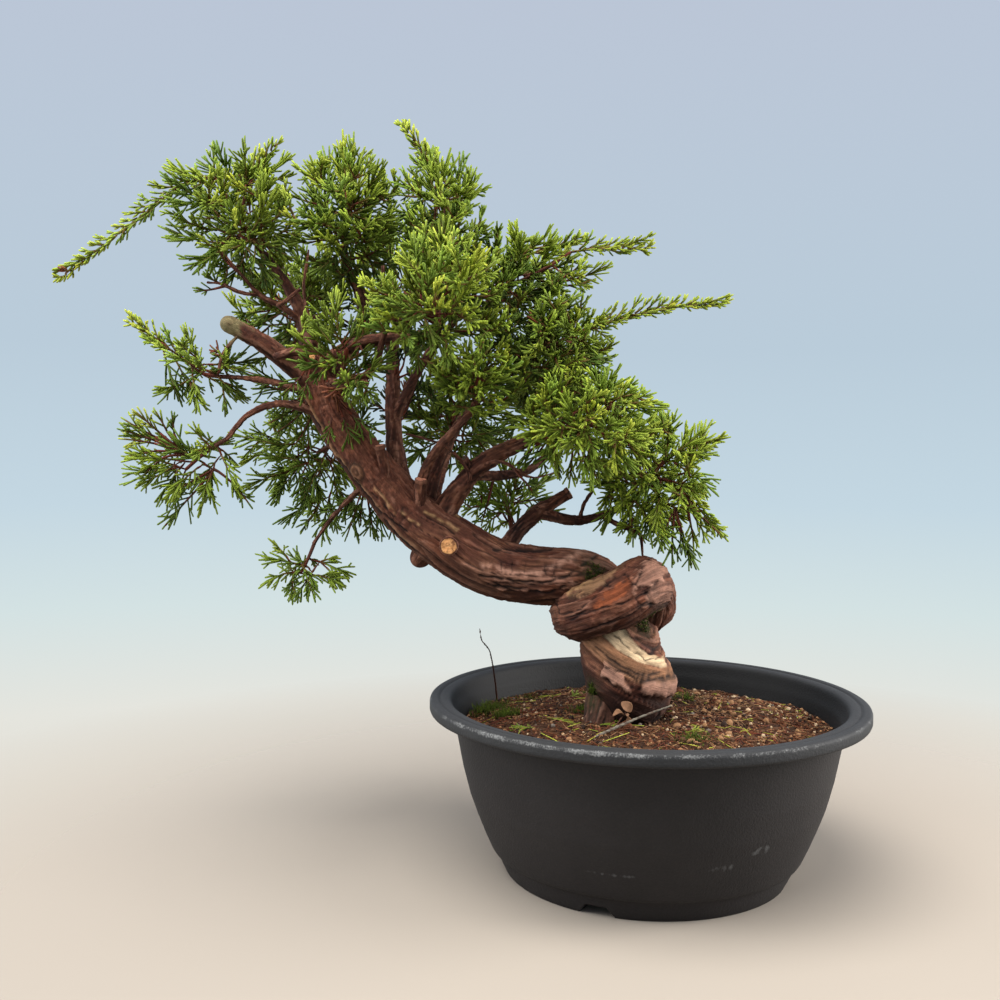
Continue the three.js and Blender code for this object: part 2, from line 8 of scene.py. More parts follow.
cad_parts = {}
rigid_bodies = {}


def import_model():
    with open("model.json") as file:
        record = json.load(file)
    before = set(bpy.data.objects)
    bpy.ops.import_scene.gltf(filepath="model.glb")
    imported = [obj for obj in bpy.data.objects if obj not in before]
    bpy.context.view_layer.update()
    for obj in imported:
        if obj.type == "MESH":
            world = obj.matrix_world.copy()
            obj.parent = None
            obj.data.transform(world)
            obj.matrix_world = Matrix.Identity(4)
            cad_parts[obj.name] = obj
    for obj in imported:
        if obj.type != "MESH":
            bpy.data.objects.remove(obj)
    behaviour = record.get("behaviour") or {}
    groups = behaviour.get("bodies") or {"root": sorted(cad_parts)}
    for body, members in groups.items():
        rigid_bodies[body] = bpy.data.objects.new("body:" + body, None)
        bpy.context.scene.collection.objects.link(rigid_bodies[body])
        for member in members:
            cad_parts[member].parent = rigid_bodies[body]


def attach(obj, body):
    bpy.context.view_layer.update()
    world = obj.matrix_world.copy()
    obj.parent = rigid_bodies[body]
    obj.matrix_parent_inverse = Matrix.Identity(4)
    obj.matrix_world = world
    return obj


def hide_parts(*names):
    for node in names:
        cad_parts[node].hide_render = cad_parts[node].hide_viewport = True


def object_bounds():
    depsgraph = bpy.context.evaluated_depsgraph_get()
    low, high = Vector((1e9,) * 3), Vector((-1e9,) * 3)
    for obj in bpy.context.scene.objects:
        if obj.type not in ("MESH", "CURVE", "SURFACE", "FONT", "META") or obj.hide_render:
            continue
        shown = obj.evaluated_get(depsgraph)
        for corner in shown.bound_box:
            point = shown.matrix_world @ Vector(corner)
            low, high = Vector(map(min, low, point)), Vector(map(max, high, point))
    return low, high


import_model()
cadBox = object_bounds()
mm = 0.001


# The camera stands at place and looks along yaw and pitch, both in degrees.
viewpoint = {"place": (-64.3, -613, 231), "yaw": 1.63, "pitch": 2.64, "roll": 0.3, "lens": 39.9}


def makeCamera(view):
    # Right, up and back are the axes turned by yaw, then pitch, then roll
    yaw, pitch, roll = (math.radians(view[key]) for key in ("yaw", "pitch", "roll"))
    right = Vector((math.cos(yaw), math.sin(yaw), 0))
    level = Vector((-math.sin(yaw), math.cos(yaw), 0))
    ahead = level * math.cos(pitch) - Vector((0, 0, math.sin(pitch)))
    up = level * math.sin(pitch) + Vector((0, 0, math.cos(pitch)))
    across = right * math.cos(roll) + up * math.sin(roll)
    upright = up * math.cos(roll) - right * math.sin(roll)
    camera = bpy.data.objects.new("camera", bpy.data.cameras.new("camera"))
    bpy.context.scene.collection.objects.link(camera)
    camera.data.sensor_width = 36
    camera.data.lens = view["lens"]
    place = Matrix.Translation(Vector(view["place"]) * mm)
    camera.matrix_world = place @ Matrix((across, upright, -ahead)).transposed().to_4x4()
    bpy.context.scene.camera = camera


makeCamera(viewpoint)
bpy.context.scene.view_settings.view_transform = "Standard"


# Colours, as a screen shows them from 0 to 255.
tones = {
    "potBody": (32, 29, 29), "potInnerShade": (13, 12, 12), "potRimSheen": (37, 37, 38), "potWorn": (114, 114, 113),
    "potDust": (78, 78, 78), "soilDark": (40, 25, 16), "soilBrown": (76, 50, 31), "soilRed": (100, 56, 32),
    "soilTan": (134, 98, 66), "soilPale": (170, 146, 116), "soilGrey": (98, 88, 78),
    "crack": (16, 9, 7), "barkInner": (62, 29, 19), "barkBrown": (86, 51, 36), "barkRed": (100, 56, 40),
    "barkTan": (132, 93, 64), "barkPink": (142, 105, 88), "barkOrange": (146, 76, 42),
    "crestTan": (142, 110, 74), "bareWood": (190, 164, 130), "bareShade": (124, 94, 66),
    "cutWood": (204, 150, 98), "cutGrey": (112, 98, 82), "cutPink": (196, 134, 108),
    "moss": (70, 84, 22), "mossDark": (30, 38, 14), "lichen": (112, 106, 94), "lichenOlive": (122, 114, 80),
    "twigRed": (98, 44, 28), "twigBrown": (66, 39, 29), "twigGreen": (86, 98, 38), "dryLeaf": (122, 88, 64),
    "leafDark": (44, 57, 19), "leafMid": (94, 116, 34), "leafBright": (136, 153, 45),
    "leafYellow": (160, 167, 58), "leafDead": (112, 62, 34)}


def light(name):
    # Turns a screen colour into light: the power of 2.4 above a short straight start
    value = np.array(tones[name]) / 255
    return np.where(value <= 0.04045, value / 12.92, ((value + 0.055) / 1.055) ** 2.4)


def blend(a, b, share):
    # a where the share is 0 and b where it is 1; a name stands for its tone
    a, b = (light(c) if isinstance(c, str) else c for c in (a, b))
    share = np.clip(share, 0, 1)
    return a + (b - a) * (share[..., None] if np.ndim(share) else share)


def smooth(low, high, value):
    # 0 below low, 1 above high, and an even S between them
    part = np.clip((value - low) / (high - low), 0, 1)
    return part * part * (3 - 2 * part)


def unit(vectors):
    # Each vector over its own length
    return vectors / np.maximum(np.linalg.norm(vectors, axis=-1, keepdims=True), 1e-9)


def makeNoise(seed):
    # The slopes at the eight corners of a unit cell, blended by a smooth step of the fifth order
    dice = np.random.default_rng(seed)
    order = dice.permutation(256)
    slopes = unit(dice.normal(size=(256, 3)))

    def noise(places):
        cell = np.floor(places).astype(int)
        part = places - cell
        fade = part**3 * (part * (part * 6 - 15) + 10)
        total = np.zeros(places.shape[:-1])
        for corner in np.ndindex(2, 2, 2):
            index = (cell + corner) & 255
            slot = order[(order[(order[index[..., 0]] + index[..., 1]) & 255] + index[..., 2]) & 255]
            reach = ((part - corner) * slopes[slot]).sum(axis=-1)
            total += reach * np.where(corner, fade, 1 - fade).prod(axis=-1)
        return total * 1.9
    return noise


coarse, medium, fine, veins = (makeNoise(seed) for seed in (3, 5, 7, 9))


# Meshes

def outward(places, faces):
    # A closed surface holds a positive volume when its faces point out
    a, b, c = (places[faces[:, i]] for i in range(3))
    volume = np.einsum("ij,ij->i", a, np.cross(b, c)).sum()
    return faces if volume > 0 else faces[:, ::-1]


def gridFaces(rows, columns):
    # Two triangles for each cell of a grid that closes on itself from its last column to its first
    row, column = np.meshgrid(np.arange(rows - 1), np.arange(columns), indexing="ij")
    a = row * columns + column
    b = row * columns + (column + 1) % columns
    c, d = b + columns, a + columns
    return np.concatenate([np.stack([a, b, c], -1).reshape(-1, 3), np.stack([a, c, d], -1).reshape(-1, 3)])


def closedGrid(rings, first, last):
    # Rings of points, closed by a fan to one point at each end
    rows, columns = rings.shape[:2]
    places = np.concatenate([rings.reshape(-1, 3), [first, last]])
    ring = np.arange(columns)
    following = (ring + 1) % columns
    start = np.stack([following, ring, np.full(columns, rows * columns)], -1)
    end = np.stack([ring, following, np.full(columns, rows * columns + 1)], -1)
    end[:, :2] += (rows - 1) * columns
    return places, outward(places, np.concatenate([gridFaces(rows, columns), start, end]))


def joined(parts):
    # Several (places, faces) as one, the faces counted on
    places = np.concatenate([p for p, f in parts])
    starts = np.cumsum([0] + [len(p) for p, f in parts[:-1]])
    return places, np.concatenate([f + start for (p, f), start in zip(parts, starts)])


def makePiece(name, places, faces, finish, slot, nodes=(), colour=None, masks=None, flow=None):
    # A mesh in millimetres, with a colour, masks and a place in the grain for each point
    mesh = bpy.data.meshes.new(name)
    mesh.vertices.add(len(places))
    mesh.vertices.foreach_set("co", (np.asarray(places) * mm).ravel())
    mesh.loops.add(faces.size)
    mesh.loops.foreach_set("vertex_index", np.ascontiguousarray(faces, dtype=np.int32).ravel())
    mesh.polygons.add(len(faces))
    mesh.polygons.foreach_set("loop_start", np.arange(0, faces.size, 3, dtype=np.int32))
    mesh.polygons.foreach_set("use_smooth", np.ones(len(faces), dtype=bool))
    mesh.update(calc_edges=True)
    if colour is not None:
        layer = mesh.color_attributes.new("tint", "FLOAT_COLOR", "POINT")
        layer.data.foreach_set("color", np.column_stack([colour, np.ones(len(colour))]).ravel())
    for mask, values in (masks or {}).items():
        mesh.attributes.new(mask, "FLOAT", "POINT").data.foreach_set("value", values)
    if flow is not None:
        layer = mesh.attributes.new("flow", "FLOAT_VECTOR", "POINT")
        layer.data.foreach_set("vector", (np.asarray(flow) * mm).ravel())
    mesh.materials.append(finish)
    piece = bpy.data.objects.new(name, mesh)
    bpy.context.scene.collection.objects.link(piece)
    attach(piece, "root")
    if nodes:
        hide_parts(*nodes)
    print(name, len(faces), "triangles")


# Lines

def alongLine(points, shares):
    # The cubic t³(2a - 2b + s + e) + t²(3b - 3a - 2s - e) + t·s + a: a and b are the points on both
    # sides, s and e half the steps across them, and the shares are of its length
    points = np.array(points, float)
    ends = np.vstack([2 * points[0] - points[1], points, 2 * points[-1] - points[-2]])

    def place(t):
        t = np.clip(t, 0, 1) * (len(points) - 1)
        i = np.minimum(t.astype(int), len(points) - 2)
        t = (t - i)[:, None]
        a, b = ends[i + 1], ends[i + 2]
        s, e = (b - ends[i]) / 2, (ends[i + 3] - a) / 2
        return t**3 * (2 * a - 2 * b + s + e) + t**2 * (3 * b - 3 * a - 2 * s - e) + t * s + a

    steps = np.linspace(0, 1, 201)
    lengths = np.append(0, np.cumsum(np.linalg.norm(np.diff(place(steps), axis=0), axis=1)))
    return place(np.interp(np.asarray(shares) * lengths[-1], lengths, steps)), lengths[-1]


def radiiAlong(radii, shares):
    # Straight runs between radii that stand at even shares of the length
    return np.interp(shares, np.linspace(0, 1, len(radii)), radii)


def steadyFrames(line):
    # Two directions square to the line at each point, carried on with no twist between points
    ahead = unit(np.gradient(line, axis=0))
    side = np.zeros_like(line)
    start = np.cross(ahead[0], (0, 0, 1.0))
    side[0] = unit(start if np.linalg.norm(start) > 0.1 else np.cross(ahead[0], (0, 1.0, 0)))
    for i in range(1, len(line)):
        side[i] = unit(side[i - 1] - ahead[i] * side[i - 1].dot(ahead[i]))
    return ahead, side, np.cross(ahead, side)


capRings = 7


def limbGrid(points, radii, step, around):
    # Circles square to the line, whose radius follows a quarter circle to a point at both ends
    length = alongLine(points, [0])[1]
    shares = np.linspace(0, 1, max(8, int(length / step)))
    line = alongLine(points, shares)[0]
    ahead, side, over = steadyFrames(line)
    radius = radiiAlong(radii, shares)
    bow = np.radians(np.linspace(8, 82, capRings))
    startOut = -np.cos(bow)[:, None] * ahead[0] * radius[0]
    endOut = np.sin(bow)[:, None] * ahead[-1] * radius[-1]
    line = np.concatenate([line[0] + startOut, line, line[-1] + endOut])
    grow = np.concatenate([np.sin(bow) * radius[0], radius, np.cos(bow) * radius[-1]])
    side, over, ahead = (
        np.concatenate([np.repeat(v[:1], capRings, 0), v, np.repeat(v[-1:], capRings, 0)])
        for v in (side, over, ahead))
    turn = np.linspace(0, 2 * np.pi, around, endpoint=False)
    out = side[:, None] * np.cos(turn)[:, None] + over[:, None] * np.sin(turn)[:, None]
    way = np.append(0, np.cumsum(np.linalg.norm(np.diff(line, axis=0), axis=1)))
    return {
        "line": line, "out": out, "rings": line[:, None] + out * grow[:, None, None], "radius": grow,
        "way": way, "turn": turn, "first": line[0] - ahead[0] * 0.02, "last": line[-1] + ahead[-1] * 0.02}


# Materials

class Finish:
    # A material and the few ways in which this script joins its nodes

    def __init__(self, name, roughness, specular=0.4):
        self.material = bpy.data.materials.new(name)
        self.material.use_nodes = True
        self.tree = self.material.node_tree
        self.shader = self.tree.nodes["Principled BSDF"]
        self.shader.inputs["Roughness"].default_value = roughness
        self.shader.inputs["Specular IOR Level"].default_value = specular
        self.place = self.add("ShaderNodeTexCoord").outputs["Object"]

    def add(self, kind, inputs=None, **settings):
        # A node whose sockets are set to numbers or linked to other sockets
        node = self.tree.nodes.new(kind)
        for key, value in settings.items():
            setattr(node, key, value)
        for key, value in (inputs or {}).items():
            if isinstance(value, bpy.types.NodeSocket):
                self.tree.links.new(value, node.inputs[key])
            else:
                node.inputs[key].default_value = value
        return node

    def mask(self, name):
        # One of the piece's own masks, from 0 to 1
        return self.add("ShaderNodeAttribute", attribute_name=name).outputs["Fac"]

    def tint(self):
        # The piece's own colour at each point
        return self.add("ShaderNodeAttribute", attribute_name="tint").outputs["Color"]

    def flow(self):
        # The place across and along the grain, kept at each point
        return self.add("ShaderNodeAttribute", attribute_name="flow").outputs["Vector"]

    def grain(self, size, detail=3, stretch=None, cells=False, place=None):
        # Noise, or cells, whose features are about the size given in millimetres
        place = place or self.place
        if stretch:
            place = self.add("ShaderNodeMapping", {"Vector": place, "Scale": stretch}).outputs[0]
        inputs = {"Vector": place, "Scale": 1 / (size * mm)}
        if cells:
            return self.add("ShaderNodeTexVoronoi", inputs).outputs["Distance"]
        return self.add("ShaderNodeTexNoise", {**inputs, "Detail": detail}).outputs[0]

    def shaded(self, colour, factor, dark, bright):
        # The colour times a number that goes from dark to bright as the factor goes from 0 to 1
        span = self.add("ShaderNodeMapRange", {"Value": factor, "To Min": dark, "To Max": bright})
        return self.add("ShaderNodeVectorMath", {0: colour, "Scale": span.outputs[0]},
                        operation="SCALE").outputs[0]

    def between(self, value, low, high, most=1.0):
        # 0 where the value is under low and the most where it is over high
        return self.add("ShaderNodeMapRange", {
            "Value": value, "From Min": low, "From Max": high, "To Max": most}).outputs[0]

    def both(self, a, b, operation):
        # Two numbers as one by the named sum
        return self.add("ShaderNodeMath", {0: a, 1: b}, operation=operation).outputs[0]

    def mixed(self, factor, a, b):
        # The colour a where the factor is 0 and b where it is 1; a name stands for its tone
        a, b = ((*light(c), 1) if isinstance(c, str) else c for c in (a, b))
        return self.add("ShaderNodeMix", {0: factor, 6: a, 7: b}, data_type="RGBA").outputs[2]

    def lifted(self, height, distance, strength, normal=None):
        # The surface's slope changed as if it stood out by height times distance in millimetres
        inputs = {"Height": height, "Distance": distance * mm, "Strength": strength}
        if normal:
            inputs["Normal"] = normal
        return self.add("ShaderNodeBump", inputs).outputs[0]

    def finished(self, colour, normal):
        # Links the last colour and slope to the shader
        self.tree.links.new(colour, self.shader.inputs["Base Color"])
        self.tree.links.new(normal, self.shader.inputs["Normal"])
        return self.material


def tintedFinish(name, roughness, relief, sizes, spread=(0.75, 1.2), specular=0.3):
    # The piece's own tint, made uneven by two grains, the smaller of which also lifts the surface
    finish = Finish(name, roughness, specular)
    colour = finish.shaded(finish.tint(), finish.grain(sizes[0]), *spread)
    small = finish.grain(sizes[1], 4)
    return finish.finished(finish.shaded(colour, small, *spread), finish.lifted(small, relief, 0.7))


# The pot

pot = {
    "outline": [
        (78, 0), (80.2, 4.5), (82.4, 10.6), (83.2, 11.6), (85.2, 12.4), (86.2, 14), (90, 22.5), (94, 32.6),
        (97.6, 42.5), (101.4, 57), (105.3, 77), (106.6, 85.6), (107.6, 87), (109, 87.5), (118.4, 87.5),
        (119.6, 88), (120, 89), (120, 92.6), (119.6, 93.8), (118.6, 94.4), (115.4, 94.5), (115, 93.9),
        (114.2, 93.8), (113.7, 94.2), (110.6, 94.1), (109, 93.6), (108, 92.4), (106.4, 88), (104.6, 84.5),
        (103, 78), (98.8, 57), (91.4, 32), (83.4, 14.5), (78, 8)],
    "pointStep": 1.6, "turnStep": 1.25, "notchStep": 0.3, "notchTurns": (-113, -23, 67, 157),
    "notchHeight": 5.5, "notchBottom": 21, "notchTop": 12, "notchDepth": 26,
    "flat": [(0.01, 0), (40, 0), (58, 0), (60, 0)], "floor": [(40, 8), (0.01, 8)],
    "rimHeights": (87, 88.5), "rimRadii": (106, 108), "innerRadii": (109.5, 107.5),
    "wear": 0.9, "outerEdge": (119.6, 93.2, 4.4), "ridge": (114.4, 0.5, 0.55),
    "lowerEdge": (119.4, 87.8, 1.5), "lowerWear": 0.5, "frontWear": (-110, 38, 0.28),
    "scuffs": [((46, -83, 38), 15, 5), ((27, -87, 31), 16, 4), ((-22, -84, 27), 26, 2.2)]}


def denser(outline, step):
    # More points on a polygon: each run cut into even parts no longer than the step
    places = []
    for a, b in zip(outline[:-1], outline[1:]):
        a, b = np.array(a, float), np.array(b, float)
        count = max(1, int(math.ceil(np.linalg.norm(b - a) / step)))
        places += [a + (b - a) * i / count for i in range(count)]
    return np.array(places + [outline[-1]])


def potTurns(settings):
    # Angles in even steps, closer together at the notches
    turns = set(np.round(np.arange(0, 360, settings["turnStep"]), 3))
    for middle in settings["notchTurns"]:
        turns |= set(np.round(np.arange(middle - 9, middle + 9, settings["notchStep"]) % 360, 3))
    return np.radians(sorted(turns))


def potSurface(settings):
    # The outline turned about the axis; in a notch the underside and foot are lifted to its roof
    outline = denser(settings["flat"] + settings["outline"] + settings["floor"], settings["pointStep"])
    turns = potTurns(settings)
    radius, height = (np.repeat(outline[:, i, None], len(turns), 1) for i in (0, 1))
    inside = settings["outline"][0][0] + 9
    for middle in np.radians(settings["notchTurns"]):
        away = np.abs((turns - middle + np.pi) % (2 * np.pi) - np.pi) * inside
        slope = (settings["notchBottom"] - settings["notchTop"]) / 2
        roof = settings["notchHeight"] * np.clip((settings["notchBottom"] / 2 - away) / slope, 0, 1)
        deep = (radius > inside - settings["notchDepth"]) & (radius < inside)
        under = np.arange(len(outline))[:, None] < len(outline) // 2
        height = np.where(deep & under, np.maximum(height, roof), height)
    rings = np.stack([radius * np.cos(turns), radius * np.sin(turns), height], -1)
    return closedGrid(rings[1:-1], (0, 0, 0), (0, 0, outline[-1][1]))


def makePot(settings):
    # The lip is worn by exp(-distance² / reach) from its edges and ridge, the most at the front, and a
    # scuff is exp(-distance²) in its own half sizes
    places, faces = potSurface(settings)
    radius, height = np.hypot(places[:, 0], places[:, 1]), places[:, 2]

    def wornAt(middle, level, reach):
        return np.exp(-((radius - middle) ** 2 + (height - level) ** 2) / reach)

    rim = smooth(*settings["rimHeights"], height) * smooth(*settings["rimRadii"], radius)
    middle, reach, most = settings["ridge"]
    ridge = most * np.exp(-((radius - middle) ** 2) / reach)
    front, wide, more = settings["frontWear"]
    turn = np.degrees(np.arctan2(places[:, 1], places[:, 0]))
    edge = rim * np.maximum(wornAt(*settings["outerEdge"]), ridge)
    edge = edge * (1 - more + more * np.exp(-(((turn - front) / wide) ** 2)))
    edge = np.maximum(edge, settings["lowerWear"] * wornAt(*settings["lowerEdge"])) * settings["wear"]
    dust = np.zeros(len(places))
    for middle, wide, tall in settings["scuffs"]:
        away = (places - middle) / (wide, wide, tall)
        dust = np.maximum(dust, np.exp(-(away**2).sum(axis=1)))
    row = np.arange(len(places)) // len(potTurns(settings))
    # The mask of the inner wall, where painted shade darkens the plastic
    inner = (row > row[np.argmax(radius)]) * smooth(*settings["innerRadii"], radius)
    masks = {"rim": rim, "edge": edge, "dust": dust, "inner": inner}

    finish = Finish("trainingPotPlastic", 0.66, 0.26)
    # Painted sheen: the lip's top is a lighter, cooler grey than the body
    colour = finish.mixed(finish.mask("rim"), "potBody", "potRimSheen")
    # Painted shade: the inner wall is made darker than the body
    colour = finish.mixed(finish.mask("inner"), colour, "potInnerShade")
    colour = finish.shaded(colour, finish.grain(26, 4), 0.7, 1.3)
    colour = finish.shaded(colour, finish.grain(1.2, 3), 0.72, 1.3)
    chips = finish.both(finish.grain(0.8, 5), finish.grain(9, 3), "ADD")
    chips = finish.both(finish.mask("edge"), chips, "ADD")
    colour = finish.mixed(finish.between(chips, 1.66, 1.98, 0.85), colour, "potWorn")
    smear = finish.both(finish.mask("dust"), finish.grain(3, 7, (1, 1, 0.5)), "MULTIPLY")
    colour = finish.mixed(finish.between(smear, 0.42, 0.56, 0.7), colour, "potDust")
    normal = finish.lifted(finish.grain(0.8, cells=True), 0.12, 0.5)
    normal = finish.lifted(finish.grain(1.3, 2), 0.35, 0.7, normal)
    finish = finish.finished(colour, normal)
    makePiece("trainingPot", places, faces, finish, "pot_plastic", ["pot"], masks=masks)


makePot(pot)


# The soil and what lies on it

soil = {
    "radius": 103.2, "crown": 84, "crownRadius": 46, "edge": 78, "depth": 62, "rows": 90, "around": 240,
    "mounds": [((70, 22), 46, 3.4), ((-68, -20), 32, 2.2), ((28, -68), 36, 2.2)],
    "waves": ((15, 0.6), (4.5, 0.6), (1.7, 0.4)), "sunk": 0.5, "footprint": ((-13, -9), 17), "seed": 21}


def soilHeight(x, y):
    # Flat, then an even S down to the wall, mounds of height · (1 - distance² / reach²)², and noise
    radius = np.hypot(x, y)
    fall = soil["crown"] - soil["edge"]
    height = soil["crown"] - fall * smooth(soil["crownRadius"], soil["radius"], radius)
    for (midX, midY), reach, tall in soil["mounds"]:
        share = ((x - midX) ** 2 + (y - midY) ** 2) / reach**2
        height = height + tall * np.maximum(1 - share, 0) ** 2
    places = np.stack([x, y, np.zeros_like(x)], -1)
    for noise, (wide, tall) in zip((coarse, medium, fine), soil["waves"]):
        height = height + tall * noise(places / wide)
    return height - soil["sunk"]


def above(places, clear):
    # Lifts points that lie less than the clear height over the soil
    places[:, 2] = np.maximum(places[:, 2], soilHeight(places[:, 0], places[:, 1]) + clear)


def dealt(choices, count, dice):
    # Colours dealt out by their shares
    names, shares = zip(*choices)
    picked = dice.choice(len(names), count, p=np.array(shares) / sum(shares))
    return np.array([light(name) for name in names])[picked]


def makeSoil():
    # Rings of the soil's height out to the wall, and a flat underside
    radius = np.append(np.linspace(0.8, soil["radius"], soil["rows"]), [101, 60])
    turn = np.linspace(0, 2 * np.pi, soil["around"], endpoint=False)
    x, y = (radius[:, None] * trig(turn) for trig in (np.cos, np.sin))
    height = soilHeight(x, y)
    height[-2:] = soil["depth"]
    rings = np.stack([x, y, height], -1)
    places, faces = closedGrid(rings, rings[0].mean(0), (0, 0, soil["depth"]))
    mix = 0.5 + 0.5 * coarse(places / 9) + 0.3 * fine(places / 2)
    colour = blend("soilDark", "soilBrown", mix)
    colour = blend(colour, "soilRed", smooth(0.1, 0.8, medium(places / 12 + 5)) * 0.6)
    finish = tintedFinish("pottingSoil", 0.95, 0.8, (4, 0.9), (0.5, 1.5), 0.15)
    makePiece("soilBed", places, faces, finish, "soil", ["soil"], colour)


def stoneShape():
    # Twelve corners of an icosahedron, from the golden ratio, and its twenty faces
    golden = (1 + 5**0.5) / 2
    corners = [(a, b * golden, 0) for a in (-1, 1) for b in (-1, 1)]
    corners = np.array([np.roll(corner, turn) for turn in range(3) for corner in corners], float)
    corners = unit(corners)
    near = np.linalg.norm(corners[:, None] - corners[None], axis=2) < 1.2
    faces = [(i, j, k) for i in range(12) for j in range(i + 1, 12) for k in range(j + 1, 12)
             if near[i, j] and near[j, k] and near[i, k]]
    faces = np.array(faces)
    a, b, c = (corners[faces[:, i]] for i in range(3))
    turned = np.einsum("ij,ij->i", a, np.cross(b, c)) < 0
    faces[turned] = faces[turned][:, ::-1]
    return corners, faces


def randomTurns(count, dice):
    # Turns as three unit vectors square to each other, from two random ones
    first = unit(dice.normal(size=(count, 3)))
    second = unit(np.cross(first, dice.normal(size=(count, 3))))
    return np.stack([first, second, np.cross(first, second)], 1)


def scatter(count, dice, reach):
    # Places spread evenly over a disc: the radius is the reach times the root of a random number
    radius = reach * np.sqrt(dice.random(count))
    turn = dice.random(count) * 2 * np.pi
    return radius * np.cos(turn), radius * np.sin(turn)


# Sizes are middle · e^(spread · random) + least. Pebbles and pale stones lie thicker on the right
grains = {
    "count": 7600, "middle": 0.42, "spread": 0.42, "least": 0.25, "largest": 1.7, "fromWall": 1.5,
    "sunk": 0.35, "uneven": (0.72, 1.15), "stretch": (0.65, 1.2), "shades": (0.75, 1.2),
    "pebbles": {"share": 0.022, "sizes": (1.1, 2.3), "right": 10, "more": 1.4, "fewer": 0.6},
    "stones": {"size": 0.85, "right": 15, "more": 0.9, "fewer": 0.4},
    "tones": [("soilDark", 0.3), ("soilBrown", 0.36), ("soilRed", 0.17), ("soilTan", 0.11),
              ("soilPale", 0.03), ("soilGrey", 0.03)],
    "stoneTones": [("soilPale", 0.2), ("soilTan", 0.45), ("soilBrown", 0.3), ("soilGrey", 0.05)]}


def makeGrains():
    # Stones of twelve uneven corners each, sunk a third into the soil
    dice = np.random.default_rng(soil["seed"])
    count, pebbly, stony = grains["count"], grains["pebbles"], grains["stones"]
    corners, faces = stoneShape()
    sides = len(corners)
    x, y = scatter(count, dice, soil["radius"] - grains["fromWall"])
    size = grains["middle"] * np.exp(dice.normal(size=count) * grains["spread"]) + grains["least"]
    size = np.minimum(size, grains["largest"])
    often = np.where(x > pebbly["right"], pebbly["more"], pebbly["fewer"])
    pebbles = dice.random(count) < pebbly["share"] * often
    size[pebbles] = dice.uniform(*pebbly["sizes"], pebbles.sum())
    shape = corners[None] * dice.uniform(*grains["uneven"], (count, sides, 1))
    shape = shape * dice.uniform(*grains["stretch"], (count, 1, 3))
    shape = np.einsum("nij,njk->nik", shape, randomTurns(count, dice)) * size[:, None, None]
    height = soilHeight(x, y) + size * grains["sunk"]
    places = shape + np.stack([x, y, height], -1)[:, None]
    allFaces = faces[None] + (np.arange(count) * sides)[:, None, None]
    colour = dealt(grains["tones"], count, dice) * dice.uniform(*grains["shades"], (count, 1))
    often = np.where(x > stony["right"], stony["more"], stony["fewer"])
    stones = (size > stony["size"]) & (dice.random(count) < often)
    colour[stones] = dealt(grains["stoneTones"], stones.sum(), dice)
    finish = tintedFinish("soilGrains", 0.85, 0.3, (2, 0.5), (0.7, 1.25), 0.25)
    makePiece("soilGrains", places.reshape(-1, 3), allFaces.reshape(-1, 3), finish, "soil",
              colour=np.repeat(colour, sides, 0))


makeSoil()
makeGrains()


# Thin tubes, many at once

def manyTubes(starts, bends, ends, radii, sides, rings):
    # Tubes round (1-t)²·start + 2t(1-t)·bend + t²·end, their radii between those of their rows
    count = len(starts)
    shares = np.linspace(0, 1, rings)
    t = shares[None, :, None]
    line = (1 - t) ** 2 * starts[:, None] + 2 * t * (1 - t) * bends[:, None] + t**2 * ends[:, None]
    ahead = unit(2 * (1 - t) * (bends - starts)[:, None] + 2 * t * (ends - bends)[:, None])
    helper = np.where(np.abs(ahead[:, :1, 2:]) < 0.9, [[[0.0, 0.0, 1.0]]], [[[1.0, 0.0, 0.0]]])
    side = unit(np.cross(ahead, helper))
    over = np.cross(ahead, side)
    turn = np.linspace(0, 2 * np.pi, sides, endpoint=False)
    at = shares * (radii.shape[1] - 1)
    low = np.minimum(at.astype(int), radii.shape[1] - 2)
    radius = radii[:, low] + (radii[:, low + 1] - radii[:, low]) * (at - low)
    out = side[:, :, None] * np.cos(turn)[:, None] + over[:, :, None] * np.sin(turn)[:, None]
    circles = line[:, :, None] + out * radius[:, :, None, None]
    tip = line[:, -1] + ahead[:, -1] * radius[:, -1:] * 1.2
    places = np.concatenate([circles.reshape(count, -1, 3), tip[:, None], line[:, :1]], 1)
    ring = np.arange(sides)
    following = (ring + 1) % sides
    cap = np.stack([ring + (rings - 1) * sides, following + (rings - 1) * sides,
                    np.full(sides, rings * sides)], -1)
    base = np.stack([following, ring, np.full(sides, rings * sides + 1)], -1)
    single = outward(places[0], np.concatenate([gridFaces(rings, sides), cap, base]))
    faces = single[None] + (np.arange(count) * (rings * sides + 2))[:, None, None]
    return places.reshape(-1, 3), faces.reshape(-1, 3), np.append(np.repeat(shares, sides), [1, 0])


def tubeColours(base, tip, shares, power=1.5):
    # From base to tip along each tube, by the share of its length to the power given
    mix = shares[None, :, None] ** power
    return (base[:, None] * (1 - mix) + tip[:, None] * mix).reshape(-1, 3)


# What lies on the soil

litter = {
    "count": 2900, "lengths": (2.5, 10), "radii": (0.14, 0.32), "narrowing": (1, 1, 0.7), "fromWall": 3,
    "long": (0.1, 1.8), "over": 0.7, "raised": 0.7, "bow": 0.1, "bowUp": 0.4, "shades": (0.7, 1.2),
    "tones": [("soilRed", 0.3), ("twigBrown", 0.3), ("twigRed", 0.12), ("leafYellow", 0.05),
              ("barkTan", 0.2), ("crestTan", 0.1)]}


